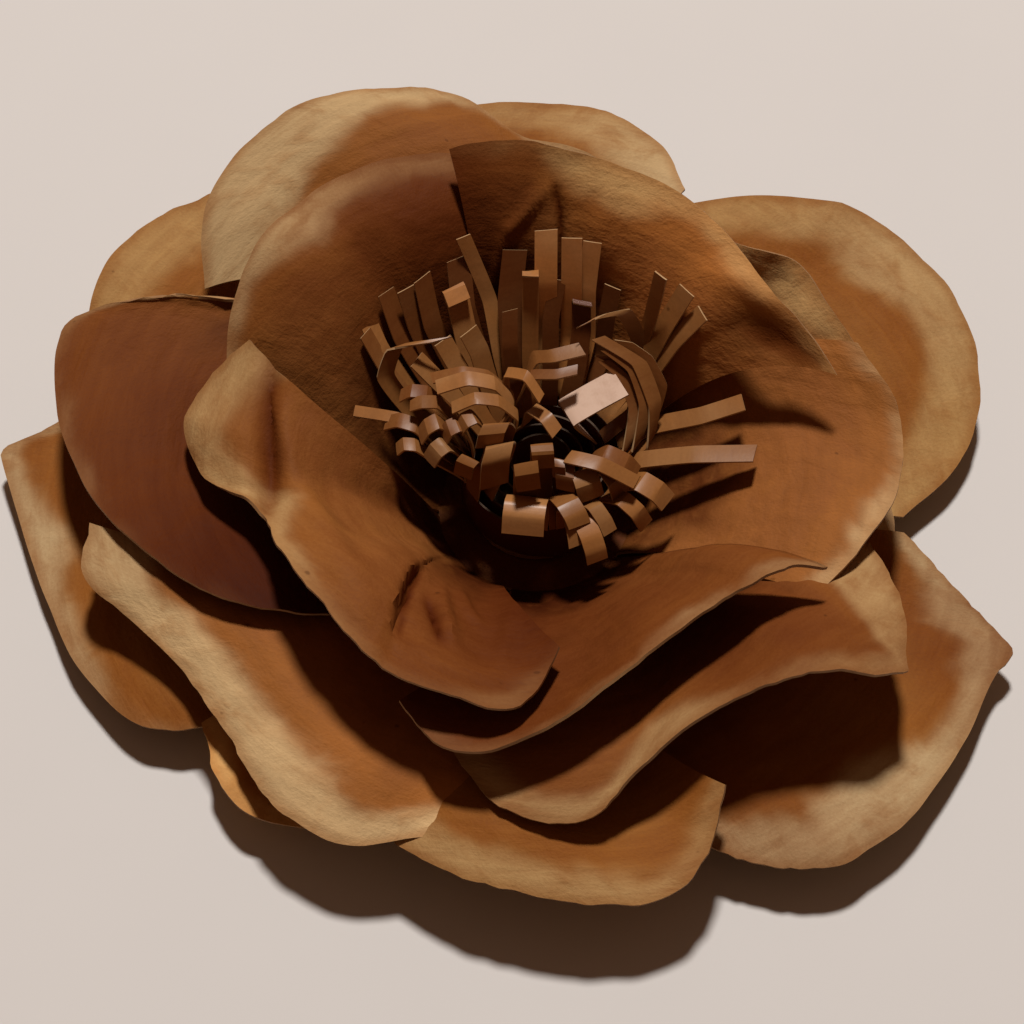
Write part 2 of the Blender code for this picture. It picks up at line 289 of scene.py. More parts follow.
LOWER_PETALS = [
    dict(rise=12, pale=(7, 7, 6, 6, 7, 6, 5, 6), gold=(1, 1, 0.7, 0.6, 1, 1),
         tone_and_painted_light=(0.93, 0.93, 0.89, 0.85), corners=(5,),
         rim=[(0, 36.4, 1.6, -6), (11, 44.2, 2, -10), (19, 47.7, 2.8, -14), (30, 49.7, 4.6, -10),
              (41.5, 48.7, 7, 0), (48, 47.2, 8.4, 4), (60, 40.6, 8.8, 4), (68, 36, 8.8, 6)]),
    dict(rise=16, pale=(9, 4, 4, 6), gold=(0, 0.8, 1, 1), tone_and_painted_light=(1.08, 0.84, 0.88, 0.95),
         rim=[(66, 38, 10.4, 0), (73, 43, 11, -8), (81, 45, 11.8, -10), (92, 45, 12.6, 0),
              (104, 45, 12, 0), (118, 45, 11, 0), (134, 43, 9, 0)]),
    dict(rise=14, pale=(1, 1, 1, 1.5, 4, 2, 1, 0, 0), corners=(3,),
         tone_and_painted_light=(0.75, 0.8, 0.9, 0.88, 0.92, 0.9, 0.88, 0.85, 0.85),
         rim=[(147.7, 43.5, 4.5, 0), (160, 46.8, 3.2, 0), (166.5, 49, 2.4, 0), (171.8, 54.2, 1.6, -4),
              (179.6, 51, 1.2, -10), (191.6, 48.6, 1.2, -14), (204.6, 46.8, 2, -20), (214, 44.4, 2.6, -18),
              (220, 38, 2.6, -8)]),
    dict(rise=20, pale=(4, 5, 5, 4, 4, 2, 2), gold=0.8, tone_and_painted_light=0.9,
         rim=[(221.5, 34.8, 3, -5), (238.5, 37.4, 4.6, -6), (252.7, 41.3, 5.6, -12), (264.3, 43.8, 6.2, -20),
              (276.6, 45.8, 6.2, -20), (285.5, 46, 5.8, -8), (290.7, 43.5, 6.6, 5), (296.2, 38.8, 9, 20)]),
    dict(rise=12, pale=(4, 5, 6, 6, 3, 2, 7, 2, 1), corners=(6,),
         tone_and_painted_light=(0.74, 0.74, 0.87, 0.98, 0.68, 0.68, 0.95),
         rim=[(291, 40, 3.4, -6), (298, 45.2, 3, -16), (304, 48.2, 3, -20), (313.6, 48.8, 2.6, -18),
              (327.2, 47.9, 1.8, -10), (336.7, 47.6, 1.8, -4), (340.6, 48.6, 2.2, 0), (347.8, 41.4, 2.6, 0),
              (355, 36.2, 3.2, 0)]),
]
UPPER_PETALS = [
    # Tone raised as painted light on this steep wall, which faces away from the lamp
    dict(rise=34, pale=(1, 1, 1, 3, 5, 4), gold=0.8, tone_and_painted_light=(1.2, 1.2, 1.2, 1.1, 0.95), crinkle=1.8,
         rim=[(-11, 31, 10.0, 10), (0, 33, 10.6, 5), (12, 33.5, 12.4, 5), (26, 31.5, 17.0, 30),
              (35, 31, 18.4, 40), (43, 28, 19.2, 45), (54, 27, 18.0, 45)]),
    dict(rise=40, pale=(6, 4, 0.5, 2, 5, 8, 9, 7), crinkle=0.6,
         rim=[(66, 30, 14.0, 30), (78, 34, 15.5, 25), (93, 37, 15.4, 10), (101, 41, 17.4, 0),
              (112, 44, 18.0, -8), (124, 46, 16.6, -16), (137, 45, 12.6, -22), (146, 40, 8.4, -30)]),
    # Tone falls towards the last end as painted shade in the hollow beside the front-left inner petal
    dict(rise=26, pale=(2, 1, 0.6, 0.6, 0.3, 0), tone_and_painted_light=(1.1, 0.78, 0.56, 0.46, 0.28, 0.14), lift=(0, 1.6),
         rim=[(149, 36, 11.4, 8), (154, 43, 11.6, 4), (160, 49, 10.0, -10), (172, 47.5, 9.4, -6),
              (182, 44, 9.4, 0), (190, 41, 10.0, 5), (200, 37, 10.2, 8), (210, 33, 10.4, 10),
              (222, 26, 9.4, 15)]),
    # Tone rises towards the last end as painted light where the inner petals' shadow falls on it
    dict(rise=28, pale=(7, 7, 5, 5, 5, 5, 4, 3, 1), tone_and_painted_light=(0.9, 1.05, 1.2, 1.2, 1.2, 1.25, 1.45, 1.45),
         lift=(1.2, -1),
         rim=[(188, 43, 7.8, 0), (194, 44.5, 7.2, -6), (203, 41.5, 6.4, -16), (212.5, 39.4, 5.6, -26),
              (224, 40, 5.2, -30), (236, 42.7, 4.8, -32), (245.5, 43, 4.6, -30), (254, 40.4, 5, -24),
              (265, 37.5, 5.4, -10)]),
    dict(rise=26, pale=(2, 3, 4, 3, 1, 1, 3, 9, 4), gold=0.5, lift=(2.2, 0), corners=(8,),
         tone_and_painted_light=(0.9, 0.85, 0.85, 0.78, 0.63, 0.6, 0.7, 0.87, 0.75),
         rim=[(256, 32, 7.4, 0), (266, 37.5, 7.4, -10), (277, 39, 8.2, -10), (285, 36, 10.4, 8),
              (293, 34.5, 12.4, 20), (305, 35, 13.8, 20), (315, 38, 14.8, 5), (320, 41, 13.0, -15),
              (324, 42, 10.8, -25), (334, 38, 9.4, -15), (344, 33, 8.8, 0)]),
]
INNER_PETALS = [
    dict(rise=46, pale=0.6, tone_and_painted_light=1.15,
         rim=[(-31, 30.5, 8.6, 12), (-18, 33, 9.6, 5), (-6, 34.8, 10.4, 0), (6, 35.2, 11.6, 0),
              (18, 33, 14, 10)]),
    # Tone up to 1.7 is painted light on this back wall, which faces away from the lamp; the low last end is
    # painted shade
    dict(rise=50, pale=(0.6, 0.6, 0.8, 1.5, 3.5, 3, 0, 0), gold=0.8, lift=(0, -0.6), sweep=(1, 0.8),
         tone_and_painted_light=(1.3, 1.5, 1.7, 1.7, 1.4, 0.75, 0.42), crinkle=0.7, folds="right back",
         rim=[(9, 29, 16.2, 0), (18, 27, 18.5, 15), (29, 25, 20.6, 25), (42, 25, 22.2, 30),
              (62, 25, 24.2, 35), (81, 25, 25.2, 40), (95, 26.5, 25.2, 35), (108, 27, 24.4, 30)]),
    # Low tone at the first end is painted shade beside the edge of the back-right petal
    dict(rise=50, pale=(0, 3, 4, 4, 3, 1, 0), tone_and_painted_light=(0.4, 0.47, 0.75, 0.95, 1),
         lift=(0.6, -2.0), sweep=(0.6, 2), crinkle=0.7,
         rim=[(98, 29, 19.5, 0), (109, 30, 21.0, -6), (120, 31, 21.2, -14), (131, 32, 20.2, -24),
              (145, 33, 18.4, -35), (155, 32.5, 15.0, -30), (164, 31, 11.5, -10), (173, 29, 8.6, 10)]),
    # Tone falls at the last end as painted shade below the fringe
    dict(rise=50, pale=(5, 6, 6, 2, 0.6, 0.6, 0.6, 0.6), gold=0.6, tone_and_painted_light=(0.9, 0.9, 1, 1, 0.78, 0.58, 0.38),
         lift=(2.0, 1.0), sweep=(2, 1.2), crinkle=1.3, folds="front left",
         rim=[(161, 29, 15.2, 10), (166, 32, 12.4, -20), (175, 34, 10.4, -40), (185, 32, 10.6, -35),
              (200, 27.5, 13.8, 10), (212, 28, 15.6, 15), (227, 29, 16.2, 5), (243, 31, 15.2, 0),
              (254, 31, 14.2, 5), (266, 31, 13.2, 15), (275, 24, 12.2, 30)]),
    # Low tone here is partly painted shade from the fringe above
    dict(rise=42, pale=(0.6, 0.6, 0.6, 1, 1), tone_and_painted_light=(0.5, 0.5, 0.58, 0.7, 0.78),
         rim=[(246, 31, 10.0, 10), (257, 34.5, 10.4, 0), (270, 33, 12.2, 15), (283, 29.5, 14.4, 30),
              (297, 27, 14.6, 25), (313, 27, 15.4, 25), (324, 29, 15.4, 5), (330, 31, 13.4, -15)]),
]
DISCS = {
    "bottom_petals": dict(hub=12.5 * MM, phase=4, petals=BOTTOM_PETALS, slot="golden card"),
    "lower_petals": dict(hub=11.5 * MM, phase=35, petals=LOWER_PETALS, slot="golden card"),
    "upper_petals": dict(hub=10.5 * MM, phase=22, petals=UPPER_PETALS, slot="brown card"),
    "inner_petals": dict(hub=9.5 * MM, phase=2, petals=INNER_PETALS, slot="brown card"),
}
print("petals:", sum(len(disc["petals"]) for disc in DISCS.values()))

# %% [markdown]
# Two helpers follow. The first draws a smooth curve through the stations. The second adds the
# unevenness of hand-curled card: a sum of gentle waves in fixed, seeded directions, which is
# cheaper than noise and has no grid in it.

# %% A curve through stations, and waves
FULL_TURN = 2 * math.pi
WAVE_PEAK = 1.4


def length_shares(places):
    """How far along a line of places each one lies, from 0 to 1."""
    lengths = np.concatenate([[0], np.cumsum(np.linalg.norm(np.diff(places, axis=0), axis=1))])
    return lengths / lengths[-1]


def cubic_pieces(knots, values, leaving, arriving, share):
    """A smooth curve through the values at the knots, made of cubic pieces. leaving and arriving
    are its slopes just after and just before each knot."""
    piece = np.clip(np.searchsorted(knots, share, side="right") - 1, 0, len(knots) - 2)
    span = (knots[piece + 1] - knots[piece])[:, None]
    part = (share - knots[piece])[:, None] / span
    return ((1 + 2 * part) * (1 - part) ** 2 * values[piece]
            + part * (1 - part) ** 2 * span * leaving[piece]
            + part ** 2 * (3 - 2 * part) * values[piece + 1]
            + part ** 2 * (part - 1) * span * arriving[piece + 1])


def through_stations(stations, share, corners=()):
    """A petal's rim: a smooth curve through its stations, whose slopes come from the neighbours.
    share runs from 0 to 1 along the rim's real length. At a corner each side keeps its own
    slope, so the scissors' sharp turn stays."""
    azimuth, reach, height = np.radians(stations[:, 0]), stations[:, 1], stations[:, 2]
    knots = length_shares(np.stack([reach * np.cos(azimuth), reach * np.sin(azimuth), height], axis=1))
    arriving = np.gradient(stations, knots, axis=0)
    leaving = arriving.copy()
    straight = np.diff(stations, axis=0) / np.diff(knots)[:, None]
    for corner in corners:
        arriving[corner] = straight[corner - 1]
        leaving[corner] = straight[corner]
    return cubic_pieces(knots, stations, leaving, arriving, share)


def waves(x, y, wavelength, seed, count=9):
    """Sum of count sine waves over the plane, each with its own direction, length and phase,
    scaled so that the sum stays mostly between -1 and 1."""
    draw = np.random.default_rng(seed)
    total = np.zeros(np.broadcast(x, y).shape)
    for _ in range(count):
        direction = draw.uniform(0, math.pi)
        length = wavelength * draw.uniform(0.6, 1.6)
        phase = draw.uniform(0, FULL_TURN)
        travel = x * math.cos(direction) + y * math.sin(direction)
        total += np.sin(FULL_TURN * travel / length + phase)
    return total / math.sqrt(count) / WAVE_PEAK


sample = waves(np.linspace(0, 100, 200), 0, wavelength=10, seed=1)
print("waves run from", round(sample.min(), 2), "to", round(sample.max(), 2))

# %% [markdown]
# The petal itself is a function of two shares: across, from one side edge to the other, and
# along, from the hub to the rim. In the upright plane at each azimuth the card follows a cubic
# Bezier curve. Its first handle leaves the hub at the petal's rise, its last one arrives at the
# rim with the lip angle, so one rule makes flat petals, cups and rolled lips.

# %% One petal as a grid of places
LONG_SNIPS = 8
SHORT_SNIPS = 2.6
SHORT_SNIPS_SHARE = 0.3


def hub_azimuths(disc, number):
    """Azimuths in degrees of a petal's columns where it leaves the hub, clear of the slits."""
    half = SECTOR / 2 - math.degrees(SLIT_WIDTH / 2 / disc["hub"])
    return disc["phase"] + SECTOR * number + half * np.linspace(-1, 1, ACROSS + 1)


def petal_grid(petal, number, disc, level):
    """Places on a grid of (ALONG + 1) rows by (ACROSS + 1) columns. Row 0 lies on the hub."""
    across = np.linspace(0, 1, ACROSS + 1)
    along = np.linspace(0, 1, ALONG + 1)[:, None]
    hub, hub_azimuth = disc["hub"], hub_azimuths(disc, number)
    rim = through_stations(np.array(petal["rim"], dtype=float), across, petal.get("corners", ()))
    rim_azimuth, lip = rim[:, 0], np.radians(rim[:, 3])
    arc = rim[:, 1] * np.radians(rim[:, 0])
    snips = waves(arc, 0, LONG_SNIPS, seed=7 * number + int(disc["phase"]))
    snips = RIM_WOBBLE * (snips + SHORT_SNIPS_SHARE * waves(arc, 0, SHORT_SNIPS, seed=number))
    reach, top = rim[:, 1] * MM + snips, level + rim[:, 2] * MM
    rise = math.radians(petal["rise"])
    length = np.hypot(reach - hub, top - level)
    radii = (hub, hub + HUB_GRIP * length * math.cos(rise), reach - RIM_GRIP * length * np.cos(lip), reach)
    heights = (level, level + HUB_GRIP * length * math.sin(rise), top - RIM_GRIP * length * np.sin(lip), top)
    weights = ((1 - along) ** 3, 3 * along * (1 - along) ** 2, 3 * along ** 2 * (1 - along), along ** 3)
    radius = sum(weight * value for weight, value in zip(weights, radii))
    height = sum(weight * value for weight, value in zip(weights, heights))
    first_lift, last_lift = petal.get("lift", (0, 0))
    lift = (first_lift * (1 - across) ** 3 + last_lift * across ** 3) * MM * 4 * along * (1 - along)
    slope = np.arctan2(top - level, reach - hub)
    radius = radius - lift * np.sin(slope)
    height = height + lift * np.cos(slope)
    first_sweep, last_sweep = petal.get("sweep", (2, 2))
    sweep = first_sweep + (last_sweep - first_sweep) * across
    azimuth = np.radians(hub_azimuth + (rim_azimuth - hub_azimuth) * along ** sweep)
    return np.stack([radius * np.cos(azimuth), radius * np.sin(azimuth), height], axis=2)


def flat_pattern(number, disc, grid):
    """Where each point lay on the disc before it was curled: the distance along the petal's
    surface is laid out straight from the hub. Stains and grain are painted on this plan."""
    steps = np.linalg.norm(np.diff(grid, axis=0), axis=2)
    radius = disc["hub"] + np.concatenate([np.zeros((1, ACROSS + 1)), np.cumsum(steps, axis=0)])
    azimuth = np.radians(disc["phase"] + SECTOR * number + SECTOR / 2 * np.linspace(-1, 1, ACROSS + 1))
    return np.stack([radius * np.cos(azimuth), radius * np.sin(azimuth)], axis=2)


def normals(grid):
    """Unit normals of a grid surface, pointing to the side that was up before curling."""
    facing = np.cross(np.gradient(grid, axis=0), np.gradient(grid, axis=1))
    return -facing * np.sign(-facing[:1, :, 2:].mean()) / np.linalg.norm(facing, axis=2, keepdims=True)


print("places in one petal:", (ALONG + 1) * (ACROSS + 1))

# %% [markdown]
# Card that was curled by hand is never even. It swells in broad waves, it has soft creases that
# run along the rim, where the pencil pressed, and it is finely crinkled where it was damp. Each is
# a height in millimetres and a wavelength, and all of them fade out at the hub.

# %% Uneven card
BROAD_WAVES = (0.26, 19)
CURLING_CREASES = (0.07, 4.5)
FINE_CRINKLES = (0.035, 2.6)
CREASE_STRETCH = 4
FADE_FROM_HUB = 2.2
TYPICAL_RADIUS = 35


def uneven(grid, flat, crinkle, seed):
    """Pushes the card in and out along its normal."""
    along = np.linspace(0, 1, ALONG + 1)[:, None]
    x, y = flat[..., 0] / MM, flat[..., 1] / MM
    radius, arc = np.hypot(x, y), TYPICAL_RADIUS * np.arctan2(y, x)
    broad = BROAD_WAVES[0] * waves(x, y, BROAD_WAVES[1], seed)
    curled = CURLING_CREASES[0] * waves(arc / CREASE_STRETCH, radius, CURLING_CREASES[1], seed + 50, count=14)
    fine = FINE_CRINKLES[0] * waves(x, y, FINE_CRINKLES[1], seed + 90, count=14)
    push = (broad + crinkle * (curled + fine)) * np.minimum(along * FADE_FROM_HUB, 1)
    return grid + normals(grid) * push[..., None] * MM


print("broad waves in mm:", BROAD_WAVES[0], "fine crinkles in mm:", FINE_CRINKLES[0])

# %% [markdown]
# Two petals of the top disc have folds that a viewer would miss: the crumpled one at the front
# left, and the one at the back, where the card was pinched behind the fringe. A fold is a ridge
# or a step along a bent line, and a fold that is a valley is darkened with painted shade.

# %% Folds
STEP_REACH = 4
FOLDS = {
    "front left": [
        ("ridge", [(163, 28), (180, 24.5), (196, 23), (216, 23.3), (232, 26)], 0.9, 1.5),
        ("ridge", [(156, 27), (166, 26.2), (178, 25.6), (191, 25.6), (203, 27.4)], -1.4, 1.1),
        ("step", [(229, 16.5), (233, 20), (237.5, 24), (241, 28)], 0.8, 0.2),
        ("ridge", [(230.5, 17), (234.5, 20), (239, 24), (242, 27)], -0.3, 0.35),
        ("ridge", [(238, 17), (245, 20.5), (252, 25)], 0.6, 0.6),
        ("ridge", [(243, 16), (250, 19), (257, 21.5)], 0.45, 0.5),
        ("ridge", [(239, 20), (246, 23), (250, 25.5)], -0.5, 0.5),
        ("ridge", [(262, 17), (263, 22), (262, 28)], 0.35, 0.8),
    ],
    "right back": [
        ("ridge", [(85.5, 23.2), (92, 21.5), (98, 20.4), (104, 18)], 0.5, 0.35),
        ("ridge", [(85.5, 23), (83.5, 21), (82, 18.5)], -0.5, 0.4),
        ("ridge", [(10, 28), (19, 25), (30, 21)], -0.4, 1.3),
        ("ridge", [(40, 22), (30, 24), (20, 26.5)], 0.5, 0.9),
    ],
}


def beside_line(grid, line):
    """For each point of a grid seen from above: its signed distance in millimetres from a bent
    line, and how far along that line it lies, from 0 to 1. The line is a list of azimuths and
    radii."""
    azimuth, radius = np.radians([place[0] for place in line]), np.array([place[1] for place in line])
    knots = np.stack([radius * np.cos(azimuth), radius * np.sin(azimuth)], axis=1)
    points = grid[..., :2] / MM
    lengths = np.linalg.norm(np.diff(knots, axis=0), axis=1)
    starts = np.concatenate([[0], np.cumsum(lengths)])
    nearest = np.full(points.shape[:2], np.inf)
    signed, share = np.zeros_like(nearest), np.zeros_like(nearest)
    for start, end, length, before in zip(knots[:-1], knots[1:], lengths, starts):
        direction = (end - start) / length
        offset = points - start
        run = np.clip(offset @ direction, 0, length)
        gap = offset - run[..., None] * direction
        distance = np.linalg.norm(gap, axis=-1)
        side = np.sign(direction[0] * offset[..., 1] - direction[1] * offset[..., 0])
        closer = distance < nearest
        nearest = np.where(closer, distance, nearest)
        signed = np.where(closer, side * distance, signed)
        share = np.where(closer, (before + run) / starts[-1], share)
    return signed, share


def fold_along(grid, kind, line, height, width):
    """Adds a ridge, or a step, of a height and a width in millimetres along a line. It fades in
    and out at the line's ends. A ridge of negative height is a valley. Returns the places, and
    how much painted shade darkens the valley, from 0 to 1."""
    distance, share = beside_line(grid, line)
    fade = np.sin(math.pi * np.clip(share, 0.02, 0.98)) ** 0.5
    if kind == "ridge":
        profile = np.exp(-(distance / width) ** 2)
    else:
        profile = -np.tanh(distance / width) * np.exp(-(distance / STEP_REACH) ** 2)
    valley_shade = profile * fade if kind == "ridge" and height < 0 else np.zeros_like(distance)
    return grid + normals(grid) * (profile * fade * height * MM)[..., None], valley_shade


print("folds:", sum(len(folds) for folds in FOLDS.values()))

# %% [markdown]
# Each disc is one sheet, so its mesh is one sheet too: rings of faces for the hub and a grid for
# each petal, which shares its first row with the hub's outer ring. With every vertex goes what
# the dye has to know: how far it lies from the rim, and its petal's pale, gold and tone.

# %% What a material reads from a mesh


def add_number(mesh, name, values):
    """Stores one number for each vertex, for the materials to read."""
    layer = mesh.attributes.new(name, "FLOAT", "POINT")
    layer.data.foreach_set("value", values.astype(np.float32))


def add_plan(mesh, name, flat):
    """Adds a UV map that holds a flat pattern, one unit for each centimetre."""
    layer = mesh.uv_layers.new(name=name)
    corners = np.zeros(len(mesh.loops), int)
    mesh.loops.foreach_get("vertex_index", corners)
    layer.data.foreach_set("uv", (flat[corners] / (10 * MM)).astype(np.float32).ravel())


def add_disc_plans(mesh, disc, flat):
    """Two UV maps for a disc: its flat pattern, and the same pattern unrolled, with the way round
    the disc as one direction and the way out as the other. The second starts at a slit, so that
    its seam lies where the card is cut."""
    first_slit = math.radians(disc["phase"] - SECTOR / 2)
    turn = (np.arctan2(flat[:, 1], flat[:, 0]) - first_slit) % FULL_TURN
    unrolled = np.stack([TYPICAL_RADIUS * MM * turn, np.linalg.norm(flat, axis=1)], axis=1)
    add_plan(mesh, "plan", flat)
    add_plan(mesh, "round", unrolled)


# %% One disc of card as a mesh
HUB_RINGS = 6
HUB_FROM_RIM = 40 * MM
PETAL_FINISH = {"pale": 0.0, "gold": 0.0, "tone_and_painted_light": 1.0}
# How far a fold's valley darkens the tone, as painted shade
VALLEY_PAINTED_SHADE = 0.65


def disc_level(place_in_stack):
    """Height of a disc's middle surface: discs and glue take turns, with a gap at each joint."""
    return CARD_THICKNESS / 2 + place_in_stack * (CARD_THICKNESS + GLUE_THICKNESS + 2 * FIT_GAP)


def hub_sheet(disc, level):
    """The flat middle: rings of vertices around one at the centre. The outer ring has the petals'
    columns. Returns the places, the triangles at the centre and the quads between the rings."""
    azimuths = np.radians(np.concatenate([hub_azimuths(disc, number) for number in range(PETALS_PER_DISC)]))
    circle = np.stack([np.cos(azimuths), np.sin(azimuths), np.zeros(len(azimuths))], axis=1)
    radii = disc["hub"] * np.linspace(0, 1, HUB_RINGS + 1)[1:]
    rings = (circle[None] * radii[:, None, None]).reshape(-1, 3) + (0, 0, level)
    here = 1 + np.arange(len(rings)).reshape(HUB_RINGS, len(azimuths))
    after = np.roll(here, -1, axis=1)
    triangles = np.stack([np.zeros(len(azimuths), int), here[0], after[0]], axis=1)
    quads = np.stack([here[:-1], here[1:], after[1:], after[:-1]], axis=2).reshape(-1, 4)
    return np.vstack([(0, 0, level), rings]), triangles, quads


def petal_sheet(petal, number, disc, place_in_stack):
    """One petal, curled, crinkled and folded: its places, its flat pattern and the painted shade
    that darkens its folds' valleys."""
    grid = petal_grid(petal, number, disc, disc_level(place_in_stack))
    flat = flat_pattern(number, disc, grid)
    grid = uneven(grid, flat, petal.get("crinkle", 1), seed=100 * place_in_stack + number)
    # dyed holds the painted shade of the folds' valleys, from 0 to 1
    dyed = np.zeros(grid.shape[:2])
    for fold in FOLDS.get(petal.get("folds"), ()):
        grid, valley_shade = fold_along(grid, *fold)
        dyed = np.maximum(dyed, valley_shade)
    return grid, flat, dyed


def petal_finish(petal, dyed):
    """The petal's finish at each vertex past its first row, blended from side to side. The folds'
    valleys darken its tone with painted shade.
    """
    across = np.linspace(0, 1, ACROSS + 1)
    finish = {}
    for kind, usual in PETAL_FINISH.items():
        values = np.atleast_1d(petal.get(kind, usual))
        finish[kind] = np.tile(np.interp(across, np.linspace(0, 1, len(values)), values), ALONG)
    finish["tone_and_painted_light"] *= 1 - VALLEY_PAINTED_SHADE * dyed[1:].ravel()
    return finish


def disc_mesh(name, disc, place_in_stack):
    """The whole disc as one mesh, with the numbers and plans that its material reads."""
    hub, triangles, hub_quads = hub_sheet(disc, disc_level(place_in_stack))
    columns = ACROSS + 1
    outer_ring = len(hub) - PETALS_PER_DISC * columns
    places, flats, quads = [hub], [hub[:, :2]], [hub_quads]
    from_rim = [np.full(len(hub), HUB_FROM_RIM)]
    finish = {kind: [np.full(len(hub), usual)] for kind, usual in PETAL_FINISH.items()}
    count = len(hub)
    for number, petal in enumerate(disc["petals"]):
        # dyed is the painted shade in the petal's fold valleys
        grid, flat, dyed = petal_sheet(petal, number, disc, place_in_stack)
        index = np.zeros((ALONG + 1, columns), int)
        index[0] = outer_ring + number * columns + np.arange(columns)
        index[1:] = count + np.arange(ALONG * columns).reshape(ALONG, columns)
        count += ALONG * columns
        places.append(grid[1:].reshape(-1, 3))
        flats.append(flat[1:].reshape(-1, 2))
        radius = np.linalg.norm(flat, axis=2)
        from_rim.append((radius[-1] - radius)[1:].ravel())
        for kind, values in petal_finish(petal, dyed).items():
            finish[kind].append(values)
        quads.append(np.stack([index[:-1, :-1], index[1:, :-1], index[1:, 1:], index[:-1, 1:]],
                              axis=2).reshape(-1, 4))
    mesh = bpy.data.meshes.new(name)
    mesh.from_pydata(np.concatenate(places), [], triangles.tolist() + np.concatenate(quads).tolist())
    add_number(mesh, "from_rim", np.concatenate(from_rim) / MM)
    for kind, values in finish.items():
        add_number(mesh, kind, np.concatenate(values))
    add_disc_plans(mesh, disc, np.concatenate(flats))
    mesh.shade_smooth()
    return mesh


def add_piece(name, mesh, node, thickness, crease=45):
    """Turns a sheet into a piece that stands for a solid. Solidify gives it the card's thickness
    and its rim faces the second material. It is applied, so that the cut edges, and creases over
    crease degrees, can be marked sharp."""
    piece = bpy.data.objects.new(name, mesh)
    bpy.context.scene.collection.objects.link(piece)
    solidify = piece.modifiers.new("card thickness", "SOLIDIFY")
    solidify.thickness = thickness
    solidify.offset = 0
    solidify.material_offset_rim = 1
    solid = bpy.data.meshes.new_from_object(piece.evaluated_get(bpy.context.evaluated_depsgraph_get()))
    piece.modifiers.clear()
    piece.data = solid
    bpy.data.meshes.remove(mesh)
    solid.name = name
    solid.set_sharp_from_angle(angle=math.radians(crease))
    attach(piece, "root")
    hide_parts(node)
    return piece


print("vertices of one disc's sheet:", 1 + PETALS_PER_DISC * (ACROSS + 1) * (HUB_RINGS + ALONG))

# %% [markdown]
# The card was brushed with strong dye before it was curled. The lips stayed pale, and an orange tide
# mark follows the shore between lip and dye. Towards the middle the Deep colour takes over: dye
# darkened further as painted shade, since the middle lies in the cup's hollow. One node group paints
# this on any flat pattern. Each card gives it four colours of its own.

# %% The stain as a node group
STAIN_INPUTS = {"Plan": "Vector", "Round": "Vector", "Lip": "Float", "Inwards": "Float", "Tone_and_painted_light": "Float",
                "Pale": "Color", "Tide": "Color", "Body": "Color", "Deep": "Color"}
STAIN_OUTPUTS = {"Colour": "Color", "Roughness": "Float", "Height": "Float"}
TIDE_STRENGTH = 0.75
RIM_TINT = 0.45
VEIL_STRENGTH = 0.4
SPECK_STRENGTH = 0.5
SPECK_COLOUR = (0.05, 0.015, 0.004)


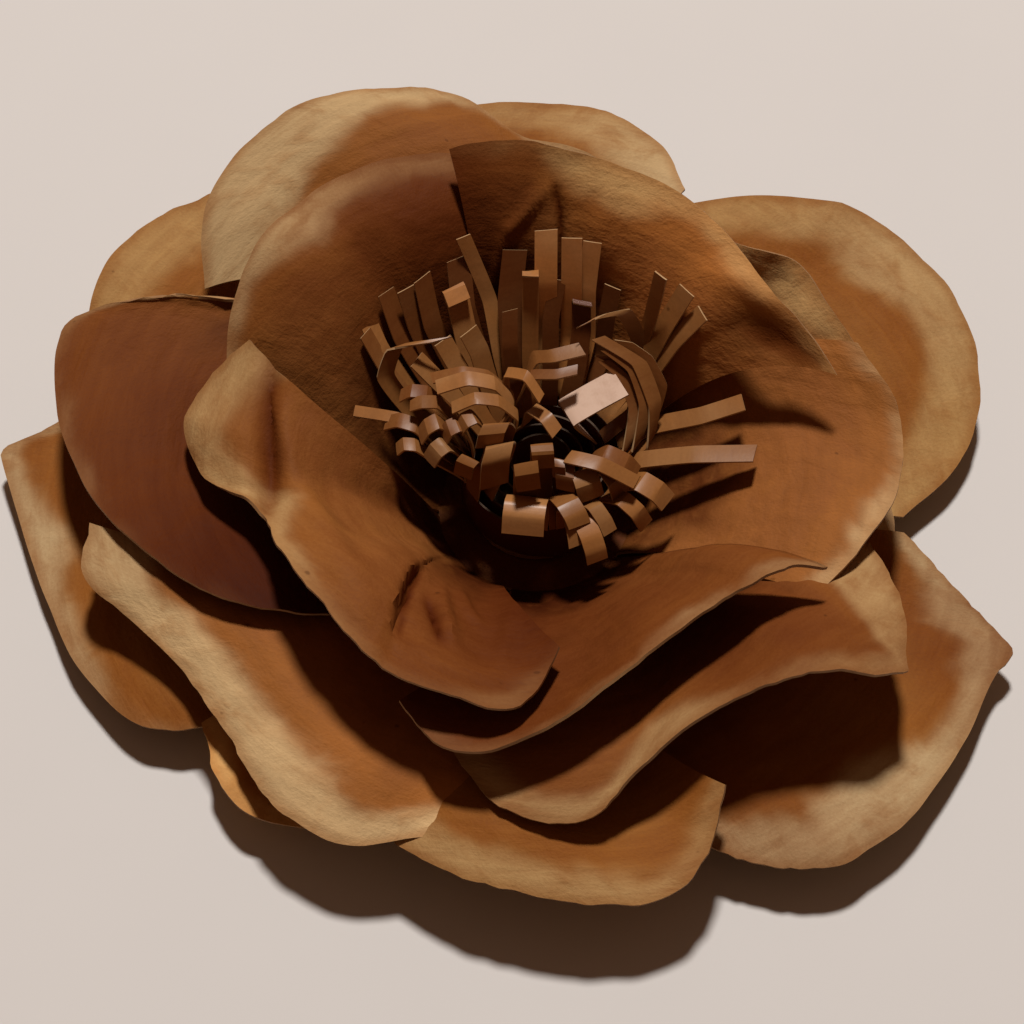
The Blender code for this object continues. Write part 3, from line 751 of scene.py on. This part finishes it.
def make_stain_group():
    """Dyed card on its flat plan, in centimetres. Round is the plan that the fibres follow. Lip is
    1 on the pale lip and falls to 0 and below inside it, Inwards grows from 0 at the rim to 1 well
    inside, and Tone lightens or darkens the whole, with painted light and shade in it as well as the
    dye's own lightness. Pale, Tide, Body and Deep are the four colours; Deep, towards the middle, is
    dye darkened further as painted shade."""
    group = bpy.data.node_groups.new("dyed card", "ShaderNodeTree")
    for name, kind in STAIN_INPUTS.items():
        group.interface.new_socket(name, in_out="INPUT", socket_type="NodeSocket" + kind)
    for name, kind in STAIN_OUTPUTS.items():
        group.interface.new_socket(name, in_out="OUTPUT", socket_type="NodeSocket" + kind)
    nodes, links = group.nodes, group.links
    given = nodes.new("NodeGroupInput").outputs
    result = nodes.new("NodeGroupOutput").inputs

    def noise(scale, detail, roughness, distortion=0.0, stretch=None):
        texture = add_node(nodes, "ShaderNodeTexNoise")
        set_inputs(texture, Scale=scale, Detail=detail, Roughness=roughness, Distortion=distortion)
        source = given["Plan"]
        if stretch:
            mapping = add_node(nodes, "ShaderNodeMapping")
            mapping.inputs["Scale"].default_value = stretch
            links.new(given["Round"], mapping.inputs["Vector"])
            source = mapping.outputs["Vector"]
        links.new(source, texture.inputs["Vector"])
        return texture.outputs["Fac"]

    def maths(operation, first, second):
        return calculate(nodes, links, operation, first, second)

    def times(value, amount):
        return maths("MULTIPLY", value, amount)

    def sway(value, amount):
        return times(maths("SUBTRACT", value, 0.5), amount)

    def soft(value, low, high):
        return ramp_between(nodes, links, value, low, high)

    def mixed(factor, first, second, blend="MIX"):
        return mix_colour(nodes, links, factor, first, second, blend)

    clouds = noise(scale=0.8, detail=2, roughness=0.55, distortion=0.5)
    blotches = noise(scale=2.6, detail=3, roughness=0.6, distortion=0.5)
    fibres = noise(scale=5, detail=3, roughness=0.65, distortion=0.3, stretch=(0.3, 1.5, 1))
    grain = noise(scale=30, detail=2, roughness=0.7)

    # Clouds and blotches move the lip's shore, and the tide mark lies along it
    drift = maths("ADD", sway(clouds, 1.3), sway(blotches, 0.5))
    shore = maths("ADD", given["Lip"], drift)
    # The Deep colour fills the middle: dye, darkened further as painted shade in the cup's hollow
    deep_dye_and_shade = soft(maths("ADD", given["Inwards"], drift), 0.6, 1.1)
    tide = times(soft(shore, -0.5, 0.2), soft(shore, 0.7, 0.2))
    colour = mixed(deep_dye_and_shade, given["Body"], given["Deep"])
    colour = mixed(soft(shore, 0.2, 1.0), colour, given["Pale"])
    colour = mixed(times(tide, TIDE_STRENGTH), colour, given["Tide"])

    # The scissors' edge soaked up some dye, and a thin veil of it lies in blotches
    edge = soft(given["Inwards"], 0.075, 0.0)
    colour = mixed(times(edge, RIM_TINT), colour, given["Tide"])
    veil = soft(blotches, 0.45, 0.72)
    colour = mixed(times(veil, VEIL_STRENGTH), colour, given["Tide"])

    # Fibres, grain and clouds vary the tone, and the Tone input, with its painted light and shade, scales it.
    # Where it comes out dark it is redder as well, as thick dye is, so painted shade turns redder too
    tone_and_painted_light = maths("ADD", times(soft(fibres, 0.3, 0.7), 0.12), 0.94)
    tone_and_painted_light = maths("ADD", tone_and_painted_light, sway(grain, 0.28))
    tone_and_painted_light = maths("ADD", tone_and_painted_light, sway(clouds, 0.4))
    tone_and_painted_light = times(tone_and_painted_light, given["Tone_and_painted_light"])
    thick_dye_and_shade = maths("MINIMUM", tone_and_painted_light, 1.0)
    dye = add_node(nodes, "ShaderNodeCombineColor")
    links.new(tone_and_painted_light, dye.inputs["Red"])
    links.new(times(tone_and_painted_light, maths("POWER", thick_dye_and_shade, 0.5)), dye.inputs["Green"])
    links.new(times(tone_and_painted_light, maths("POWER", thick_dye_and_shade, 0.8)), dye.inputs["Blue"])
    colour = mixed(1.0, colour, dye.outputs["Color"], "MULTIPLY")

    # A few dark specks
    cells = add_node(nodes, "ShaderNodeTexVoronoi")
    set_inputs(cells, Scale=3.6)
    links.new(given["Plan"], cells.inputs["Vector"])
    near = soft(cells.outputs["Distance"], 0.1, 0.04)
    rare = soft(cells.outputs["Color"], 0.74, 0.8)
    colour = mixed(times(times(near, rare), SPECK_STRENGTH), colour, SPECK_COLOUR)

    relief = maths("ADD", times(grain, 0.3), times(fibres, 0.5))
    links.new(colour, result["Colour"])
    links.new(maths("ADD", times(grain, 0.2), 0.5), result["Roughness"])
    links.new(maths("ADD", relief, times(blotches, 1.2)), result["Height"])
    return group


stain = make_stain_group()


def place_stain(nodes, **dyes):
    """The stain in a material, with that material's dyes."""
    dyed = nodes.new("ShaderNodeGroup")
    dyed.node_tree = stain
    for name, colour in dyes.items():
        dyed.inputs[name].default_value = (*colour, 1)
    return dyed


print("nodes in the stain:", len(stain.nodes))

# %% [markdown]
# Two cards carry the stain. The two discs below are golden with wide pale lips, and the two above
# are browner, and darker inside, where their Deep colour is painted shade as well as dye. The cut
# edges have no dye and show the pale fibres of the card.

# %% The card of the discs
LIP_SHORE = 5.0
LIP_START = 0.6
INWARDS_REACH = 22.0
GOLD = (0.4, 0.227, 0.082)
EDGE_FADE = 0.1
# How dark a cut edge gets where it is painted into shade
EDGE_PAINTED_SHADE = 0.2


def make_card(name, pale, tide, body, deep_dye_and_shade):
    """Dyed card. The lip mask falls from 1 to 0 over LIP_SHORE millimetres where the distance
    from the rim passes the petal's own pale width."""
    material, nodes, links, shader = new_material(name, roughness=0.6, specular=0.04)
    dyed = place_stain(nodes, Tide=tide, Body=body, Deep=deep_dye_and_shade)
    from_rim = attribute_value(nodes, "from_rim")
    inside_lip = calculate(nodes, links, "SUBTRACT", attribute_value(nodes, "pale"), from_rim)
    lip = calculate(nodes, links, "DIVIDE", inside_lip, LIP_SHORE)
    plugs = {
        "Plan": uv_plan(nodes, "plan"),
        "Round": uv_plan(nodes, "round"),
        "Lip": calculate(nodes, links, "ADD", lip, LIP_START),
        "Inwards": calculate(nodes, links, "DIVIDE", from_rim, INWARDS_REACH),
        # Tone carries painted light and shade as well as the dye's lightness
        "Tone_and_painted_light": attribute_value(nodes, "tone_and_painted_light"),
        "Pale": mix_colour(nodes, links, attribute_value(nodes, "gold"), pale, GOLD),
    }
    for socket, value in plugs.items():
        links.new(value, dyed.inputs[socket])
    links.new(dyed.outputs["Colour"], shader.inputs["Base Color"])
    links.new(dyed.outputs["Roughness"], shader.inputs["Roughness"])
    add_bump(nodes, links, shader, dyed.outputs["Height"], strength=0.8, distance=0.2 * MM)
    return material


def make_cut_edge(name, dark, light, painted_shade_below_tone=0.0):
    """The pale fibres of a cut edge. Where the sheet's tone is below painted_shade_below_tone they are
    darkened with painted shade.
    """
    material, nodes, links, shader = new_material(name, roughness=0.7)
    colour = mix_colour(nodes, links, object_noise(nodes, links, 900, 3), dark, light)
    shown = ramp_between(nodes, links, attribute_value(nodes, "tone_and_painted_light"), painted_shade_below_tone, painted_shade_below_tone + EDGE_FADE)
    shaded_edge_colour = [EDGE_PAINTED_SHADE * value for value in dark]
    links.new(mix_colour(nodes, links, shown, shaded_edge_colour, colour), shader.inputs["Base Color"])
    return material


golden_card = make_card("golden card", pale=(0.47, 0.325, 0.168), tide=(0.26, 0.09, 0.016),
                        body=(0.27, 0.105, 0.022), deep_dye_and_shade=(0.2, 0.068, 0.014))
# The brown card's Deep colour is nearly black: painted shade in the hollows near the hub
brown_card = make_card("brown card", pale=(0.45, 0.3, 0.147), tide=(0.25, 0.09, 0.02),
                       body=(0.22, 0.076, 0.019), deep_dye_and_shade=(0.08, 0.021, 0.0048))
cut_edge = make_cut_edge("cut edge", dark=(0.19, 0.08, 0.025), light=(0.34, 0.18, 0.07))
print("cards:", golden_card.name, "and", brown_card.name)

# %% [markdown]
# Now the four discs can be cut, curled, dyed and stacked, from the bottom one up.

# %% Build the discs
CARD_FOR_SLOT = {"golden card": golden_card, "brown card": brown_card}
for place_in_stack, (node, disc) in enumerate(DISCS.items()):
    sheet = disc_mesh(node + "_card", disc, place_in_stack)
    sheet.materials.append(CARD_FOR_SLOT[disc["slot"]])
    sheet.materials.append(cut_edge)
    piece = add_piece(node + "_card", sheet, node, CARD_THICKNESS)
    print(node, "faces:", len(piece.data.polygons))

# %% [markdown]
# The centre is one long strip of pearly card. One edge was snipped into fingers, then the strip
# was rolled up and glued upright. It is rolled loosely, so its turns lie on an open spiral that
# has slid a little towards the back. Where it is wider than the flat hub, it rides up the petals.

# %% The rolled band
STRIP_THICKNESS = 0.2 * MM
ROLL_CENTRE = np.array([0.8, 2.2]) * MM
ROLL_INNER_RADIUS = 2.6 * MM
ROLL_OUTER_RADIUS = 8.4 * MM
ROLL_TURNS = 4.8
ROLL_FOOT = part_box("fringed_roll")[0][2] + STRIP_THICKNESS / 2
BAND_TOP = 10.0 * MM
FLAT_HUB = 8.6 * MM
PETAL_CLIMB = 1.1
BAND_COLUMNS = 420
BAND_ROWS = 5


def spiral(angle):
    """Spiral of Archimedes: the radius grows evenly with the angle, which counts from the
    strip's inner end. Returns places on the plane."""
    share = angle / (FULL_TURN * ROLL_TURNS)
    radius = ROLL_INNER_RADIUS + (ROLL_OUTER_RADIUS - ROLL_INNER_RADIUS) * share
    return ROLL_CENTRE + np.stack([radius * np.cos(angle), radius * np.sin(angle)], axis=-1)


def band_surface():
    """The uncut part of the strip. Its foot climbs by PETAL_CLIMB beyond the flat hub."""
    flat = spiral(np.linspace(0, FULL_TURN * ROLL_TURNS, BAND_COLUMNS))
    beyond = np.maximum(np.linalg.norm(flat, axis=1) - FLAT_HUB, 0)
    foot = ROLL_FOOT + beyond * PETAL_CLIMB
    up = np.linspace(0, 1, BAND_ROWS)[:, None]
    height = foot + (BAND_TOP - foot) * up
    return np.stack([np.broadcast_to(flat[:, 0], height.shape),
                     np.broadcast_to(flat[:, 1], height.shape), height], axis=2)


band = band_surface()
wound = np.linalg.norm(np.diff(band[-1], axis=0), axis=1).sum()
print("length of the wound strip in mm:", round(wound / MM))

# %% [markdown]
# No two fingers bend alike, so each one is described one by one. A row says which turn it grows
# from, counted from the outside, how wide it is in millimetres, how light its dye is with painted
# light and shade added, and the places that it passes on its way to the tip, in millimetres.

# %% Where the fingers go
FAN_FINGERS = [
    (0, 2.0, 1.1, [(-12, 7.5, 13.5), (-15, 10, 17), (-17.5, 15, 20)]),
    (0, 1.6, 0.8, [(-11.5, 6, 13), (-14.5, 8.5, 16), (-16.5, 11, 18.5)]),
    (0, 2.0, 0.6, [(-10.5, 9, 14), (-13, 11.5, 17.5), (-14.5, 14.5, 20.5)]),
    (0, 2.2, 0.6, [(-9.5, 10, 14), (-11.5, 12.5, 18), (-12.5, 14.5, 21)]),
    (0, 2.0, 0.6, [(-8, 10.5, 14), (-10, 12.5, 18), (-11, 15.5, 21.5)]),
    (0, 2.4, 0.5, [(-5.5, 11, 14), (-7, 14, 18.5), (-7.5, 17.5, 22)]),
    (0, 1.5, 1.4, [(-3.5, 12, 14), (-4.5, 15.5, 18), (-7, 18.5, 24)]),
    (1, 2.4, 1.5, [(-6, 10, 14), (-7.5, 14, 19.5), (-8, 15, 20.6), (-7.4, 13.5, 20)]),
    (0, 2.4, 0.45, [(-2, 10.5, 13), (-2.5, 15, 18.5), (-2, 18.5, 22)]),
    (1, 1.5, 0.5, [(-2, 8.5, 13.5), (-2.5, 10.5, 17), (-2.5, 13, 19.5)]),
    (2, 2.1, 1.1, [(-4.5, 8, 14), (-5.5, 10, 17), (-6.5, 11, 18.8)]),
    (2, 2.1, 1.2, [(-6, 7, 14), (-8, 9, 17), (-9, 10, 18.6)]),
    (2, 2.1, 1.05, [(-7, 5.5, 14), (-10, 7, 17), (-11.5, 8, 18.2)]),
    (0, 1.8, 1.1, [(-11.5, 5, 13), (-14.5, 7, 17), (-13.5, 8.5, 19.4), (-11.5, 8.5, 20), (-9, 9, 20)]),
]
BACK_FINGERS = [
    # The first three fingers here have tone over 2 as painted light: they face away from the lamp
    (0, 2.2, 2.3, [(1, 13, 15), (1, 15.5, 20.5), (1, 18.5, 25)]),
    (0, 2.0, 2.3, [(3.5, 13, 15), (3.5, 15.5, 20), (3.5, 18, 24.4)]),
    (0, 1.8, 2.1, [(5, 13, 15), (5, 15.5, 19.5), (5.5, 18, 23.8)]),
    (1, 1.6, 1.4, [(-0.5, 11, 14), (-0.5, 14, 18.5), (-0.5, 16, 21.8), (-0.5, 15.2, 21.9)]),
    (1, 1.6, 0.5, [(1.5, 10.5, 13.5), (1.5, 13.5, 17.5), (2.2, 16, 20.5)]),
    (1, 1.9, 0.45, [(4, 10.5, 13.5), (4.5, 13, 16.5), (4.5, 14.5, 19), (4.6, 14, 19)]),
    (0, 1.7, 0.5, [(6.5, 12, 13.5), (7, 14, 17.5), (7.5, 15.5, 20)]),
    (0, 1.6, 1.2, [(10.5, 10.5, 12.5), (10, 12, 16.5), (8.5, 12.5, 19.8), (6, 11.5, 20.3),
                   (4.5, 10.5, 20.3)]),
    (0, 1.5, 1.3, [(10, 11.5, 14), (11.2, 12.8, 19), (12, 14, 23.6)]),
    (0, 2.1, 1.3, [(10.5, 10.5, 14), (12.5, 11.8, 18.6), (14.5, 13, 22.6)]),
    (0, 1.9, 1.2, [(11, 9.5, 13.5), (13.5, 10.5, 18), (16, 11, 21.6)]),
    (2, 1.6, 0.9, [(-1, 7.5, 15), (0, 9, 17.2), (1.5, 8.5, 18), (4.5, 9, 18.5)]),
    (2, 1.2, 0.7, [(-1.5, 6, 15), (-0.5, 6.5, 17.6), (2, 6, 18.4), (4, 6.5, 18.5)]),
    (3, 1.3, 1.3, [(-2.5, 4, 14), (-2.8, 6.2, 18.4), (-1, 5, 19.5), (0.5, 3, 18.5)]),
]
RIGHT_FINGERS = [
    (0, 2.0, 1.0, [(11, 4.5, 12), (16, 4, 14.5), (20, 4.5, 16)]),
    (0, 2.0, 1.0, [(9.8, 0.8, 11.5), (15, 0, 13.6), (21, -0.5, 14.5)]),
    (0, 1.5, 0.9, [(11, 2.5, 12), (11.5, 5, 15), (10, 8, 17.5), (6, 10, 19)]),
    (1, 1.3, 0.8, [(9.6, 2, 12), (10.6, 5, 15), (9.5, 7.5, 17), (7, 9, 18.2)]),
    (1, 1.3, 0.7, [(8.6, 1.5, 12), (9.6, 5, 14.5), (8.6, 7.2, 16.2), (6.6, 8.6, 17.2)]),
    (2, 1.6, 1.1, [(3, -2.2, 16), (3, -3, 17.4), (6, -4, 17.6), (9.5, -5, 16)]),
    (0, 1.5, 0.7, [(11, 5, 12.5), (12, 7, 15.5), (10.5, 9, 17.5), (8.5, 10, 18.5)]),
    (1, 1.5, 0.7, [(9.6, 6, 12.5), (10, 7.5, 15), (8.5, 8.5, 16.5), (6.5, 9, 17.5)]),
    (0, 2.4, 1.2, [(8.5, -2.5, 12.5), (10, -3.6, 14.2), (11.6, -4.5, 13.8), (12.6, -4.8, 12.4)]),
    (0, 1.8, 1.2, [(7, -4.5, 13), (8.3, -6, 14.6), (9.6, -7, 14), (10.5, -7.2, 12)]),
    (1, 2.4, 0.8, [(5, -1.5, 14.5), (6.5, -2.5, 17), (8.5, -3.2, 16.4), (9.5, -3.5, 15)]),
    (1, 2.2, 0.8, [(5.5, -2.5, 14), (6.8, -3.6, 16.4), (7.6, -4.7, 16), (8.1, -5.1, 14)]),
]
FRONT_FINGERS = [
    (0, 1.5, 1.0, [(4.8, -5.5, 13.5), (5.6, -7, 14.8), (6.5, -8.2, 14.2), (7, -9, 13.4)]),
    (0, 1.7, 1.2, [(2.8, -6, 13), (3.3, -7.6, 14.6), (3.7, -9.2, 14), (3.9, -10.2, 13)]),
    (0, 2.1, 1.3, [(3.8, -6, 12.6), (4.5, -8.2, 14.2), (5.2, -9.8, 13.8), (5.6, -10.8, 13),
                   (5.8, -11.3, 12)]),
    (0, 4.0, 1.4, [(-0.6, -4.8, 12.6), (-0.8, -5.6, 14.4), (-1, -6.8, 15.2), (-1.2, -8.2, 14.9),
                   (-1.3, -9.3, 13.5)]),
    (0, 2.3, 1.0, [(2.2, -5, 14), (3, -7, 15.4), (3.7, -8.2, 15.1), (4.1, -8.9, 14.4)]),
    (1, 1.8, 0.8, [(2.8, -2, 14), (2.8, -3.4, 16.6), (2.7, -4.6, 16.4), (2.8, -5.2, 15)]),
    (1, 2.5, 1.0, [(4, -2.5, 14), (4.5, -4, 16.4), (4.9, -5.3, 16.1), (5.3, -5.9, 14.6)]),
    (1, 2.8, 1.1, [(-3.3, -0.6, 16), (-3.5, -2.8, 18.6), (-3.8, -3.8, 18), (-4, -4.7, 15)]),
    (1, 2.3, 1.1, [(-1, -4.4, 17.3), (-1, -4.9, 19), (-0.9, -5.8, 18.4), (-0.7, -6.3, 16.6)]),
    (3, 2.1, 1.0, [(0.5, -2.6, 16.5), (0.5, -2.9, 19.2), (0.6, -3.7, 19), (0.7, -4.3, 17.4)]),
    (2, 2.5, 1.0, [(-3.2, 1, 16.5), (-3.8, -0.4, 19), (-4.2, -1.2, 18.7), (-4.5, -1.7, 17.2)]),
    (2, 1.3, 0.8, [(2, -2, 15), (2, -3.3, 17.3), (2.1, -4, 17.2), (2.2, -4.4, 16)]),
]
LEFT_FINGERS = [
    (2, 1.8, 1.0, [(-5, 1.5, 16), (-6, 1, 18.4), (-6.8, 0.6, 18.3), (-7.4, 0.4, 17.2)]),
    (1, 1.8, 0.8, [(-6.5, 1, 15), (-7.5, 0.5, 17.8), (-8.3, 0.1, 17.7), (-8.8, -0.1, 16.6)]),
    (1, 1.8, 0.9, [(-8, 1.6, 15), (-9.5, 1, 17.6), (-10.4, 0.5, 17.4), (-11.1, 0.2, 16.2)]),
    (0, 1.9, 0.9, [(-5.8, -2, 14), (-6.3, -3, 17), (-6.7, -3.4, 16.8), (-7, -3.7, 15.2)]),
    (0, 1.9, 0.9, [(-7.5, 0, 14), (-8.8, -1.2, 16.8), (-9.5, -1.7, 16.6), (-10.2, -2, 15.2)]),
    (0, 1.3, 1.1, [(-10, 2, 14), (-13, 2.5, 16), (-17.5, 4.2, 15)]),
    (0, 1.7, 0.8, [(-9.5, 0.8, 14), (-11.5, 1.3, 16.6), (-13.2, 1.9, 16.6), (-14.4, 2.3, 15.6)]),
    (0, 1.5, 1.0, [(-9.8, -0.6, 14), (-11.6, -0.6, 16), (-12.6, -0.5, 16), (-13.3, -0.4, 15)]),
    (1, 1.5, 0.8, [(-8, 3.2, 15.5), (-9.5, 3, 18), (-11, 2.7, 18.4), (-12, 2.8, 17.8)]),
    (1, 1.5, 0.7, [(-8.6, 4.2, 15.5), (-10.5, 4.2, 18), (-12, 4.2, 18.2), (-13, 4.2, 17.4)]),
    (2, 1.7, 1.2, [(-2.2, 3.6, 17), (-4, 4.2, 19.4), (-6.5, 4.4, 19.9), (-9.5, 4, 19)]),
    (3, 1.4, 1.1, [(-1.8, 2.2, 17), (-3.6, 2.4, 19), (-5.8, 2.4, 19.4), (-8, 2, 18.4)]),
    (2, 1.3, 0.9, [(-2.4, 4.8, 16.5), (-4.6, 5.4, 19), (-7, 5.4, 19.6), (-10, 5.4, 18.6)]),
    (3, 1.5, 1.1, [(-0.8, 3.6, 14), (-0.4, 3.4, 16.4), (1, 1.8, 17), (2, 0.5, 16.4)]),
]
FLAT_FLAP = (2, 3.4, 1.0, [(3, 3.8, 15.2), (5.6, 5.2, 15.9), (8.2, 6.5, 16.5)])
FINGERS = FAN_FINGERS + BACK_FINGERS + RIGHT_FINGERS + FRONT_FINGERS + LEFT_FINGERS + [FLAT_FLAP]
print("fingers:", len(FINGERS))

# %% [markdown]
# A finger is a ribbon around a curve through its places. It was creased between a nail and the
# scissors' blade, so the curve bends sharply at the places and runs nearly straight between them.
# At the root its width lies along the strip. Towards the tip it turns level, across the bend.

# %% One finger as a ribbon
FINGER_ROWS = 26
FINGER_COLUMNS = 4
BEND_SOFTNESS = 0.4
SIDE_TURN = 1.6
CUPPING = 0.03 * MM
SNIP_SKEW = 0.3 * MM
FIRST_ANGLE = 0.1


def finger_root(turn, first_place):
    """Where a finger leaves the band, and that place's azimuth: on its turn, as near as the spiral
    comes to the finger's first place."""
    azimuth = math.atan2(*(first_place[:2] - ROLL_CENTRE)[::-1]) % FULL_TURN
    angle = FULL_TURN * (ROLL_TURNS - turn) - (FULL_TURN * ROLL_TURNS - azimuth) % FULL_TURN
    return np.append(spiral(np.array(max(angle, FIRST_ANGLE))), BAND_TOP), azimuth


def finger_surface(turn, width, places, number):
    """The ribbon's grid. BEND_SOFTNESS shortens the curve's slopes, so that it creases at the
    places. The tip is snipped slightly askew."""
    root, azimuth = finger_root(turn, np.array(places[0]) * MM)
    knots = np.vstack([root, np.array(places) * MM])
    share = length_shares(knots)
    slopes = BEND_SOFTNESS * np.gradient(knots, share, axis=0)
    slopes[0] = (slopes[0] + 2 * np.array([0, 0, np.linalg.norm(slopes[0])])) / 3
    along = np.linspace(0, 1, FINGER_ROWS)
    line = cubic_pieces(share, knots, slopes, slopes, along)
    heading = np.append((knots[-1] - root)[:2], 0)
    tip_side = np.cross(heading, (0, 0, 1)) / np.linalg.norm(heading)
    root_side = np.array([math.sin(azimuth), -math.cos(azimuth), 0])
    tip_side = tip_side * (1 if tip_side @ root_side >= 0 else -1)
    turned = np.minimum(along * SIDE_TURN, 1)[:, None]
    side = root_side * (1 - turned) + tip_side * turned
    side /= np.linalg.norm(side, axis=1, keepdims=True)
    direction = np.gradient(line, axis=0)
    direction /= np.linalg.norm(direction, axis=1, keepdims=True)
    facing = np.cross(direction, side)
    across = np.linspace(-0.5, 0.5, FINGER_COLUMNS)
    skew = SNIP_SKEW * np.random.default_rng(number).uniform(-1, 1)
    grid = line[:, None] + side[:, None] * (across * width * MM)[None, :, None]
    grid += facing[:, None] * (CUPPING * (4 * across ** 2))[None, :, None]
    grid += direction[:, None] * (skew * across)[None, :, None] * (along ** 4)[:, None, None]
    return grid


ribbons = [finger_surface(turn, width, places, number)
           for number, (turn, width, tone_and_painted_light, places) in enumerate(FINGERS)]
print("ribbons:", len(ribbons))

# %% [markdown]
# The band and its fingers are one strip, so they become one mesh. Each ribbon takes a stretch of
# its own on the flat plan, as no two pieces of card have the same stain. The wide flap in the
# middle alone carries a painted pearly highlight, where it would turn its pearly side to the lamp.

# %% The strip as one mesh
# The band's low tone is partly painted shade that keeps the inside of the roll dark
BAND_TONE_AND_PAINTED_SHADE = 0.3
PLAN_STEP = 7 * MM


def grids_mesh(name, grids, plans, finishes):
    """One mesh of several grid surfaces, with a UV plan in centimetres. Each finish is a name and
    one number for each grid."""
    places, faces, count = [], [], 0
    for grid in grids:
        rows, columns = grid.shape[:2]
        index = count + np.arange(rows * columns).reshape(rows, columns)
        faces.append(np.stack([index[:-1, :-1], index[:-1, 1:], index[1:, 1:], index[1:, :-1]],
                              axis=2).reshape(-1, 4))
        places.append(grid.reshape(-1, 3))
        count += rows * columns
    mesh = bpy.data.meshes.new(name)
    mesh.from_pydata(np.concatenate(places), [], np.concatenate(faces).tolist())
    sizes = [grid.shape[0] * grid.shape[1] for grid in grids]
    for finish, values in finishes.items():
        add_number(mesh, finish, np.repeat(np.array(values, dtype=float), sizes))
    add_plan(mesh, "plan", np.concatenate([plan.reshape(-1, 2) for plan in plans]))
    mesh.shade_smooth()
    return mesh


def lengths_plan(grid, start):
    """Distances over a grid's surface: across its columns from start, and along its rows."""
    across = np.linalg.norm(np.diff(grid, axis=1), axis=2).cumsum(axis=1)
    along = np.linalg.norm(np.diff(grid, axis=0), axis=2).cumsum(axis=0)
    plan = np.zeros(grid.shape[:2] + (2,))
    plan[:, 1:, 0] = across
    plan[1:, :, 1] = along
    plan[..., 0] += start
    return plan


strip_grids = [band] + ribbons
strip_plans = [lengths_plan(grid, number * PLAN_STEP) for number, grid in enumerate(strip_grids)]
# Finger tones hold painted light and shade as well as dye
tones_and_painted_light = [BAND_TONE_AND_PAINTED_SHADE] + [tone_and_painted_light for turn, width, tone_and_painted_light, places in FINGERS]
# Only the wide flap gets the painted pearly highlight
painted_sheen = [0] * len(FINGERS) + [1]
strip = grids_mesh("fringed_roll_strip", strip_grids, strip_plans, {"tone_and_painted_light": tones_and_painted_light, "painted_sheen": painted_sheen})
print("faces of the strip:", len(strip.polygons))

# %% [markdown]
# The strip is the same dyed card with a pearly finish: it is smoother, glossier and pinker than
# the petals. It has no lip, so the stain gets one middling value for Lip and for Inwards. Deep in
# the roll the cut edges are painted dark as painted shade, since no light reaches them.

# %% Pearly card for the strip
# A painted highlight: the colour of the lamp's glint on pearly card
PEARL_PAINTED_SHEEN = (0.56, 0.38, 0.28)


def make_fringe_card():
    """Dyed card with a pearly finish. The shine number lets a painted pearly highlight cover the dye."""
    material, nodes, links, shader = new_material("fringe card", roughness=0.38, specular=0.16)
    dyed = place_stain(nodes, Pale=(0.32, 0.17, 0.068), Tide=(0.23, 0.09, 0.024),
                       Body=(0.22, 0.09, 0.026), Deep=(0.16, 0.055, 0.014))
    set_inputs(dyed, Lip=0.4, Inwards=0.7)
    for socket in ("Plan", "Round"):
        links.new(uv_plan(nodes, "plan"), dyed.inputs[socket])
    links.new(attribute_value(nodes, "tone_and_painted_light"), dyed.inputs["Tone_and_painted_light"])
    painted_sheen_share = calculate(nodes, links, "MULTIPLY", attribute_value(nodes, "painted_sheen"), dyed.outputs["Height"])
    colour = mix_colour(nodes, links, painted_sheen_share, dyed.outputs["Colour"], PEARL_PAINTED_SHEEN)
    links.new(colour, shader.inputs["Base Color"])
    add_bump(nodes, links, shader, dyed.outputs["Height"], strength=0.3, distance=0.06 * MM)
    set_inputs(shader, Coat_Weight=0.04, Coat_Roughness=0.2)
    return material


strip.materials.append(make_fringe_card())
# The strip's cut edges are lighter than the discs': pale fibres, with a painted highlight where the
# fingertips catch the lamp
strip.materials.append(make_cut_edge("fringe cut edge with painted highlight", dark=(0.30, 0.15, 0.055), light=(0.50, 0.33, 0.17),
                                     painted_shade_below_tone=0.32))
piece = add_piece("fringed_roll_strip", strip, "fringed_roll", STRIP_THICKNESS, crease=22)
print(piece.name, "faces:", len(piece.data.polygons))

# %% [markdown]
# Four dabs of craft glue hold the stack together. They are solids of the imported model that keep
# their place. Craft glue dries clear, so they get the colour of the card that shows through it,
# and a smooth, slightly rippled skin.

# %% Dried glue
GLUE_NODES = ("glue_bottom", "glue_lower", "glue_upper", "glue_roll")


def make_glue():
    """Clear glue over brown card, darker and lighter in fine ripples."""
    material, nodes, links, shader = new_material("dried glue", roughness=0.25, specular=0.5)
    ripples = object_noise(nodes, links, 400, 3)
    colour = mix_colour(nodes, links, ripples, (0.14, 0.06, 0.02), (0.26, 0.13, 0.05))
    links.new(colour, shader.inputs["Base Color"])
    add_bump(nodes, links, shader, ripples, strength=0.4, distance=0.1 * MM)
    return material


glue = make_glue()
for name in GLUE_NODES:
    for material_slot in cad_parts[name].material_slots:
        material_slot.material = glue
print("glue dabs finished:", len(GLUE_NODES))
